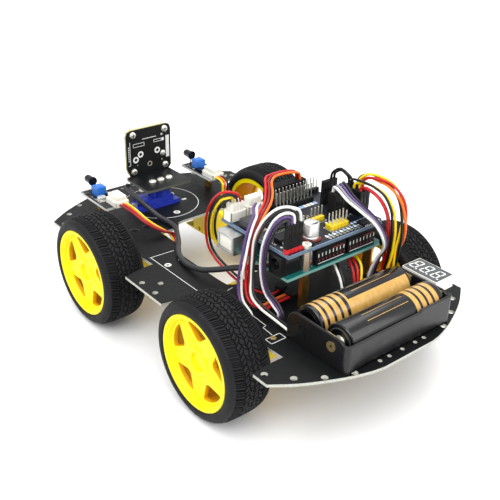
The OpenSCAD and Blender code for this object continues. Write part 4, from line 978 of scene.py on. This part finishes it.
sh = Shape()
socket(sh, -20, -13, 15.6, 26, ez1, 10, "y", 4)
socket(sh, -19.6, -12.8, 3.2, 13.8, ez1, 10, "y", 4)
for s in (1, -1):
    y0, y1 = sorted((31.8 * s, 41 * s))
    socket(sh, 72.6, 85, y0, y1, iz1, 6.6, "y", 3)
sh.make("lead_plugs", "chassis", ["white"], "white_plastic", ("lead_sockets",), 30)

# can capacitors: crimped groove, printed half moon, moulded foot
sh = Shape()
for x, y, z, r, h in ((-57.6, 4.6, ez1, 4, 9.6), (-57.8, 5.2, uz1, 3.1, 7.6), (-45.6, 22.8, uz1, 3.1, 7.6)):
    f = r + 0.2
    sh.prism([(x - f + 0.9, y - f), (x + f, y - f), (x + f, y + f), (x - f + 0.9, y + f), (x - f, y + f - 0.9), (x - f, y - f + 0.9)], z, z + 1.1, 1, 0.15)
    sh.rev((x, y, z), (0, 0, 1), [(0, 1.0), (r - 0.2, 1.0), (r, 1.25), (r, 1.9), (r - 0.3, 2.25), (r - 0.3, 2.45), (r, 2.8), (r, h - 0.6), (r - 0.15, h - 0.2), (r - 0.6, h), (0, h)], 0, 40)
    moon = [(x + (r - 0.7) * math.cos(math.radians(a)), y + (r - 0.7) * math.sin(math.radians(a))) for a in range(120, 241, 10)]
    sh.prism(moon, z + h - 0.01, z + h + 0.03, 2)
sh.make("capacitor_cans", "chassis", ["alu", "solder_red", "grey_face_and_recess_shade"], "can_alu", ("can_capacitors",), 30)

# chips with gull-wing legs
sh = Shape()


def chip(x0, x1, y0, y1, z, h, along, pitch, stand=0.15):
    sh.box(x0, x1, y0, y1, z + stand, z + h, 0, 0.18)
    sh.cyl((x1 - 1.1, y1 - 1.1, z + h - 0.01), (0, 0, 1), 0.42, 0.03, 1, 14, 0.0)
    lo, hi = (y0, y1) if along == "y" else (x0, x1)
    n = int((hi - lo - 0.6) / pitch)
    for k in range(n):
        c = (lo + hi) / 2 + (k - (n - 1) / 2) * pitch
        w = pitch * 0.2
        for side in (-1, 1):
            if along == "y":
                e = x0 if side < 0 else x1
                sh.box(min(e - 0.05 * side, e + 0.4 * side), max(e - 0.05 * side, e + 0.4 * side), c - w, c + w, z + h * 0.4, z + h * 0.55, 2, 0.03)
                sh.box(min(e + 0.3 * side, e + 0.85 * side), max(e + 0.3 * side, e + 0.85 * side), c - w, c + w, z, z + 0.16, 2, 0.03)
                sh.box(min(e + 0.28 * side, e + 0.44 * side), max(e + 0.28 * side, e + 0.44 * side), c - w, c + w, z, z + h * 0.55, 2, 0.03)
            else:
                e = y0 if side < 0 else y1
                sh.box(c - w, c + w, min(e - 0.05 * side, e + 0.4 * side), max(e - 0.05 * side, e + 0.4 * side), z + h * 0.4, z + h * 0.55, 2, 0.03)
                sh.box(c - w, c + w, min(e + 0.3 * side, e + 0.85 * side), max(e + 0.3 * side, e + 0.85 * side), z, z + 0.16, 2, 0.03)
                sh.box(c - w, c + w, min(e + 0.28 * side, e + 0.44 * side), max(e + 0.28 * side, e + 0.44 * side), z, z + h * 0.55, 2, 0.03)


chip(-58, -49.5, -36, -1, uz1, 4.6, "y", 2.54, 1.0)
chip(-33, -26, 4, 11, uz1, 1.2, "y", 0.8)
chip(-46, -40, 14, 19, uz1, 1.6, "x", 1.6)
chip(-42, -34, -8, 4, ez1, 1.8, "y", 1.0)
chip(-42, -34.6, 8, 18, ez1, 1.8, "y", 1.0)
chip(-64.4, -59, -37, -27, ez1, 1.6, "y", 1.27)
chip(-53, -48, 13, 21, ez1, 2.2, "y", 1.27)
sh.box(-33.6, -24.4, 14.4, 24.2, ez1, ez1 + 4.3, 3, 0.35, 2)
sh.make("chip_bodies", "chassis", ["black_matt", "black_gloss", "tinned", "ferrite"], "part_black", ("board_chips",), 30)

# socket strips between the two boards
sh = Shape()
for x in (-64.2, -15.9):
    for y0, y1 in ((-37, -16.7), (-14.6, 5.8)):
        sh.box(x, x + 2.5, y0, y1, uz1, uz1 + 8.4, 0, 0.18)
        sh.box(x + 0.05, x + 2.45, y0, y1, uz1 + 8.75, ez0, 0, 0.18)
        for k in range(8):
            y = y0 + 1.27 + 2.54 * k
            sh.box(x + 0.93, x + 1.57, y - 0.32, y + 0.32, uz1 + 8.0, uz1 + 9.2, 1, 0.05)
            if x < -60:
                sh.box(x - 0.04, x + 0.1, y - 0.28, y + 0.28, uz1 + 4.9, uz1 + 6.9, 2, 0)
                sh.box(x - 0.04, x + 0.1, y - 0.75, y - 0.45, uz1 + 2.4, uz1 + 3.6, 3, 0)
        if x < -60:
            sh.box(x - 0.04, x + 0.1, y0 + 1, y1 - 1.2, uz1 + 1.1, uz1 + 1.5, 2, 0)
            sh.box(x - 0.04, x + 0.1, y0 + 2, y0 + 9, uz1 + 7.3, uz1 + 7.6, 3, 0)
sh.make("stack_strips", "chassis", ["black_matt", "tinned", "silk", "silk_red"], "part_black", ("stack_headers",), 30)

# USB: pale insert and spring tabs of the shell
sh = Shape()
sh.box(-28.9, -18.7, 24.2, 32.4, uz1 + 1.8, uz1 + 9.0, 0, 0.5, 2)
sh.make("usb_insert", "chassis", ["white"], "white_plastic", angle=30)
sh = Shape()
for x in (-27.2, -21.8):
    sh.box(x - 0.9, x + 0.9, 20, 28, uz1 + 10.5, uz1 + 10.72, 0, 0.08)
    sh.box(x - 0.5, x + 0.5, 28.6, 31.4, uz1 + 10.5, uz1 + 10.66, 0, 0.06)
sh.box(-30.72, -30.5, 20, 27, uz1 + 3, uz1 + 7, 0, 0.08)
sh.make("usb_springs", "chassis", ["steel"], "shell_steel", angle=30)

# ---------------------------------------------------------------- printing, pads and small parts on the expansion board
sh = Shape()
z = ez1
for k in range(15):
    y = -39.6 + 2.54 * k
    sh.ring(-62.9, y, 0.42, 0.86, z, 2, 20, 0.05)
    sh.box(-61.6, -60.2, y - 0.9, y + 0.9, z, z + 0.04, 1 if k % 2 else 0, 0)
    sh.box(-59.9, -59.3, y - 0.55, y + 0.55, z, z + 0.04, 0, 0) if not (-38 < y < -26 or -1 < y < 10) else None
for k in range(11):
    y = -40.2 + 2.54 * k
    if y < -24 or y > -8:
        sh.box(-58.6, -56.6, y - 0.85, y + 0.85, z, z + 0.04, 1, 0)
        sh.box(-58.3, -57.0, y - 0.3, y + 0.3, z + 0.03, z + 0.05, 0, 0)
    sh.ring(-50.6, y, 0.4, 0.8, z, 2, 18, 0.05)
    sh.box(-49.4, -48.4, y - 0.8, y + 0.8, z, z + 0.04, 0 if k % 3 else 1, 0)
sh.line([(-65.0, -39.4), (-65.0, 25.8), (-12.6, 25.8)], 0.3, z, 1, 0.04)
sh.line([(-58.6, -23.2), (-52.4, -23.2), (-52.4, -9.4), (-58.6, -9.4), (-58.6, -23.2)], 0.22, z, 0, 0.04)
sh.line([(-47.0, -17.2), (-42.6, -17.2), (-42.6, -5.6), (-47.0, -5.6), (-47.0, -17.2)], 0.22, z, 0, 0.04)
sh.line([(-20.8, 14.8), (-12.6, 14.8)], 0.22, z, 0, 0.04)
for k in range(11):
    y = -28.6 + 1.27 + 2.54 * k
    sh.box(-28.6, -25.9, y - 1.05, y + 1.05, z, z + 0.04, 0 if k % 4 else 1, 0)
    sh.box(-22.2, -21.4, y - 0.8, y + 0.8, z, z + 0.04, 3, 0)
sh.make("expansion_print", "chassis", ["silk", "silk_blue", "tinned", "silk_red"], "board_navy", angle=20)

sh = Shape()
rnd = random.Random(7)


def smd(x, y, z, turn, w=1.6, d=0.85, h=0.5, mi=0):
    M = Matrix.Translation((x, y, z)) @ Matrix.Rotation(math.radians(turn), 4, "Z")
    sh.box(-w / 2 + 0.28, w / 2 - 0.28, -d / 2, d / 2, 0, h, mi, 0.05, 1, M)
    for q in (-1, 1):
        sh.box(min(q * (w / 2 - 0.3), q * w / 2), max(q * (w / 2 - 0.3), q * w / 2), -d / 2, d / 2, 0, h, 1, 0.05, 1, M)


for x, y, t, k in ((-56.4, 11.0, 0, 0), (-56.4, 13.2, 0, 2), (-56.4, 15.4, 0, 0), (-56.4, 17.6, 0, 2), (-56.4, 19.8, 90, 0), (-56.4, 23.0, 0, 3), (-59.4, 12.2, 90, 0), (-59.0, 22.6, 0, 0),
                   (-46.2, 7.6, 90, 2), (-46.2, 10.2, 90, 0), (-46.2, 23.2, 0, 0), (-43.4, 23.2, 0, 2), 
                   (-32.0, 4.0, 90, 0), (-32.0, 7.4, 90, 2), (-32.0, 10.8, 90, 0), (-30.0, -2.0, 0, 0), (-30.0, -4.4, 0, 2), (-30.0, -6.8, 0, 0), (-38.0, -12.0, 0, 2), (-38.0, -14.4, 0, 0),
                   (-52.0, 10.0, 0, 0), (-52.0, 23.6, 0, 2), (-49.4, 23.6, 0, 0), (-24.0, 8.0, 90, 0), (-24.0, 11.4, 90, 2)):
    smd(x, y, ez1, t, mi={0: 0, 2: 2, 3: 3}[k])
for x, y, t, k in ((-40, -5, 0, 0), (-40, -8, 0, 2), (-36, -5, 90, 0), (-62.6, 8.4, 90, 0), (-60.6, 8.4, 90, 2), (-52.6, 8, 0, 0), (-38, 20, 90, 2), (-38, 23, 90, 0), (-20, 12, 0, 0)):
    smd(x, y, uz1, t, mi={0: 0, 2: 2}[k])
# a small black block near the rear corner
sh.box(-63.6, -60.6, 7.2, 10.6, ez1, ez1 + 1.6, 0, 0.3)
sh.make("small_parts", "chassis", ["black_matt", "tinned", "ceramic", "silk"], "part_black", angle=30)

# ---------------------------------------------------------------- ranging head: printing, pads and screws on its back
sh = Shape()


def plate_ring(y, zc, r0, r1, mi):
    sh.rev((bdx + 0.02, y - 1.5, zc), (-1, 0, 0), [(r0, 0), (r1, 0), (r1, 0.07), (r0, 0.07), (r0, 0)], mi, 28)


def bx(y0, y1, z0, z1, mi, t=0.05):
    sh.box(bdx - t, bdx + 0.02, y0 - 1.5, y1 - 1.5, z0, z1, mi, 0)


for y, zc in ((6.1, 74.4), (9.8, 71.3), (-6.6, 74.7)):
    plate_ring(y, zc, 1.05, 2.15, 0)
plate_ring(-0.6, 66.6, 1.1, 1.8, 1)
sh.rev((bdx + 0.02, -12.3, 71.8), (-1, 0, 0), [(0, 0), (2.0, 0), (1.95, 0.25), (1.5, 0.6), (0.8, 0.78), (0, 0.8)], 1, 28)
for y0, y1, z0, z1 in ((3.1, 11.5, 79.8, 82.2), (-9.9, -3.9, 80.5, 82.3)):
    for a, b, c, d in ((y0, y1, z0, z0 + 0.3), (y0, y1, z1 - 0.3, z1), (y0, y0 + 0.3, z0, z1), (y1 - 0.3, y1, z0, z1)):
        bx(a, b, c, d, 0)
bx(-11.9, -10.1, 80.4, 82.4, 0)
bx(-15.6, -13.2, 68.6, 83.4, 0, 0.35)
for y, zc, r in ((-10.2, 84.9, 0.8), (-10.0, 67.6, 0.6), (8.7, 67.4, 0.4)):
    plate_ring(y, zc, 0.0001, r, 1)
bx(-6.1, 4.5, 84.2, 84.6, 0)
bx(13.7, 14.0, 68.3, 83.9, 0)
bx(13.7, 15.4, 68.0, 68.3, 0)
for k in range(7):
    bx(14.5, 15.1, 71 + 1.5 * k, 71.9 + 1.5 * k, 0)
sh.make("head_print", "pan_head", ["silk", "tinned"], "board_black", angle=25)

sh = Shape()
for y, zc in ((10.2, hz0 + 29.2), (-13.6, hz0 + 29.2), (10.1, hz0 + 4.3), (-13.8, hz0 + 4.4)):
    sh.rev((bdx, y, zc), (-1, 0, 0), [(0, 0), (2.2, 0), (2.25, 0.4), (2.05, 0.95), (1.5, 1.35), (0.9, 1.45), (0, 1.45)], 0, 28)
    # grey cross on each head: painted shade standing in for the cross recess
    for w in (0.25,):
        sh.box(bdx - 1.5, bdx - 1.1, y - 1.3, y + 1.3, zc - w, zc + w, 1, 0.0)
        sh.box(bdx - 1.5, bdx - 1.1, y - w, y + w, zc - 1.3, zc + 1.3, 1, 0.0)
    sh.rev((bdx, y, zc), (1, 0, 0), [(0, 0), (1.2, 0), (1.2, 4.8), (0, 4.8)], 0, 20)
for y in (-6.2, 0, 6.2):
    sh.rev((86, y, hz1), (0, 0, 1), [(0, 0), (2.4, 0), (2.45, 0.5), (2.2, 1.1), (1.6, 1.5), (0.9, 1.6), (0, 1.6)], 0, 28)
    # grey cross on each head: painted shade standing in for the cross recess
    sh.box(86 - 1.3, 86 + 1.3, y - 0.22, y + 0.22, hz1 + 1.2, hz1 + 1.53, 1, 0.0)
    sh.box(86 - 0.22, 86 + 0.22, y - 1.3, y + 1.3, hz1 + 1.2, hz1 + 1.53, 1, 0.0)
    sh.cyl((86, y, hz0), (0, 0, 1), 1.0, 1.6, 0, 18, 0.0)
sh.make("head_fasteners", "pan_head", ["screw", "grey_face_and_recess_shade"], "screw_steel", ("head_screws",), 30)

# ---------------------------------------------------------------- obstacle modules: small parts, pads and printing
sh = Shape()
for s in (1, -1):
    for x, y, t, k in ((88.5, 36.0, 90, 0), (88.5, 44.4, 0, 2), (92.0, 44.6, 0, 0), (103.0, 44.0, 90, 0), (103.0, 33.4, 90, 2), (100.0, 33.2, 0, 0), (96.4, 33.2, 0, 2), (96.4, 44.4, 0, 0)):
        smd(x, y * s, iz1, t, mi={0: 0, 2: 2}[k])
    sh.line([(86.4, 32.6 * s), (86.4, 45.2 * s)], 0.25, iz1, 3)
    sh.ring(90, 41 * s, 2.75, 3.3, iz1, 1, 28)
    sh.line([(104.0, 32.2 * s), (107.4, 32.2 * s), (107.4, 45.4 * s), (104.0, 45.4 * s)], 0.22, iz1, 3)
sh.make("module_parts", "chassis", ["black_matt", "tinned", "ceramic", "silk"], "part_black", angle=30)


# ---------------------------------------------------------------- floor and light
bpy.ops.mesh.primitive_plane_add(size=12.0, location=(0, 0, 0))
floor = bpy.context.object
floor.name = "floor"
fm = Mat("pale_floor", rough=0.45, spec=0.3)
fm.color(fm.vary((0.93, 0.93, 0.93, 1), 0.012, 3.0))
fm.rough(0.38, 0.5, 4.0)
floor.data.materials.append(fm.m)

world = bpy.data.worlds.new("studio")
scene.world = world
world.use_nodes = True
bg = world.node_tree.nodes["Background"]
bg.inputs[0].default_value = (1.0, 1.0, 1.0, 1)
bg.inputs[1].default_value = 0.9


def area(name, loc, target, size, power, color=(1, 1, 1)):
    d = bpy.data.lights.new(name, "AREA")
    d.shape = "RECTANGLE"
    d.size, d.size_y = size
    d.energy = power
    d.color = color
    o = bpy.data.objects.new(name, d)
    scene.collection.objects.link(o)
    o.location = loc
    o.rotation_mode = "QUATERNION"
    o.rotation_quaternion = (Vector(target) - Vector(loc)).to_track_quat("-Z", "Y")
    return o


area("key_soft", (-0.5, 0.9, 1.5), (0, 0, 0.05), (1.4, 1.4), 24)
area("fill_soft", (-1.3, -0.5, 0.9), (0, 0, 0.05), (1.2, 1.0), 9)
area("top_soft", (0.5, -0.3, 1.6), (0, 0, 0.05), (1.6, 1.6), 16)

scene.view_settings.view_transform = "Standard"
scene.view_settings.look = "None"
scene.view_settings.exposure = 0.0
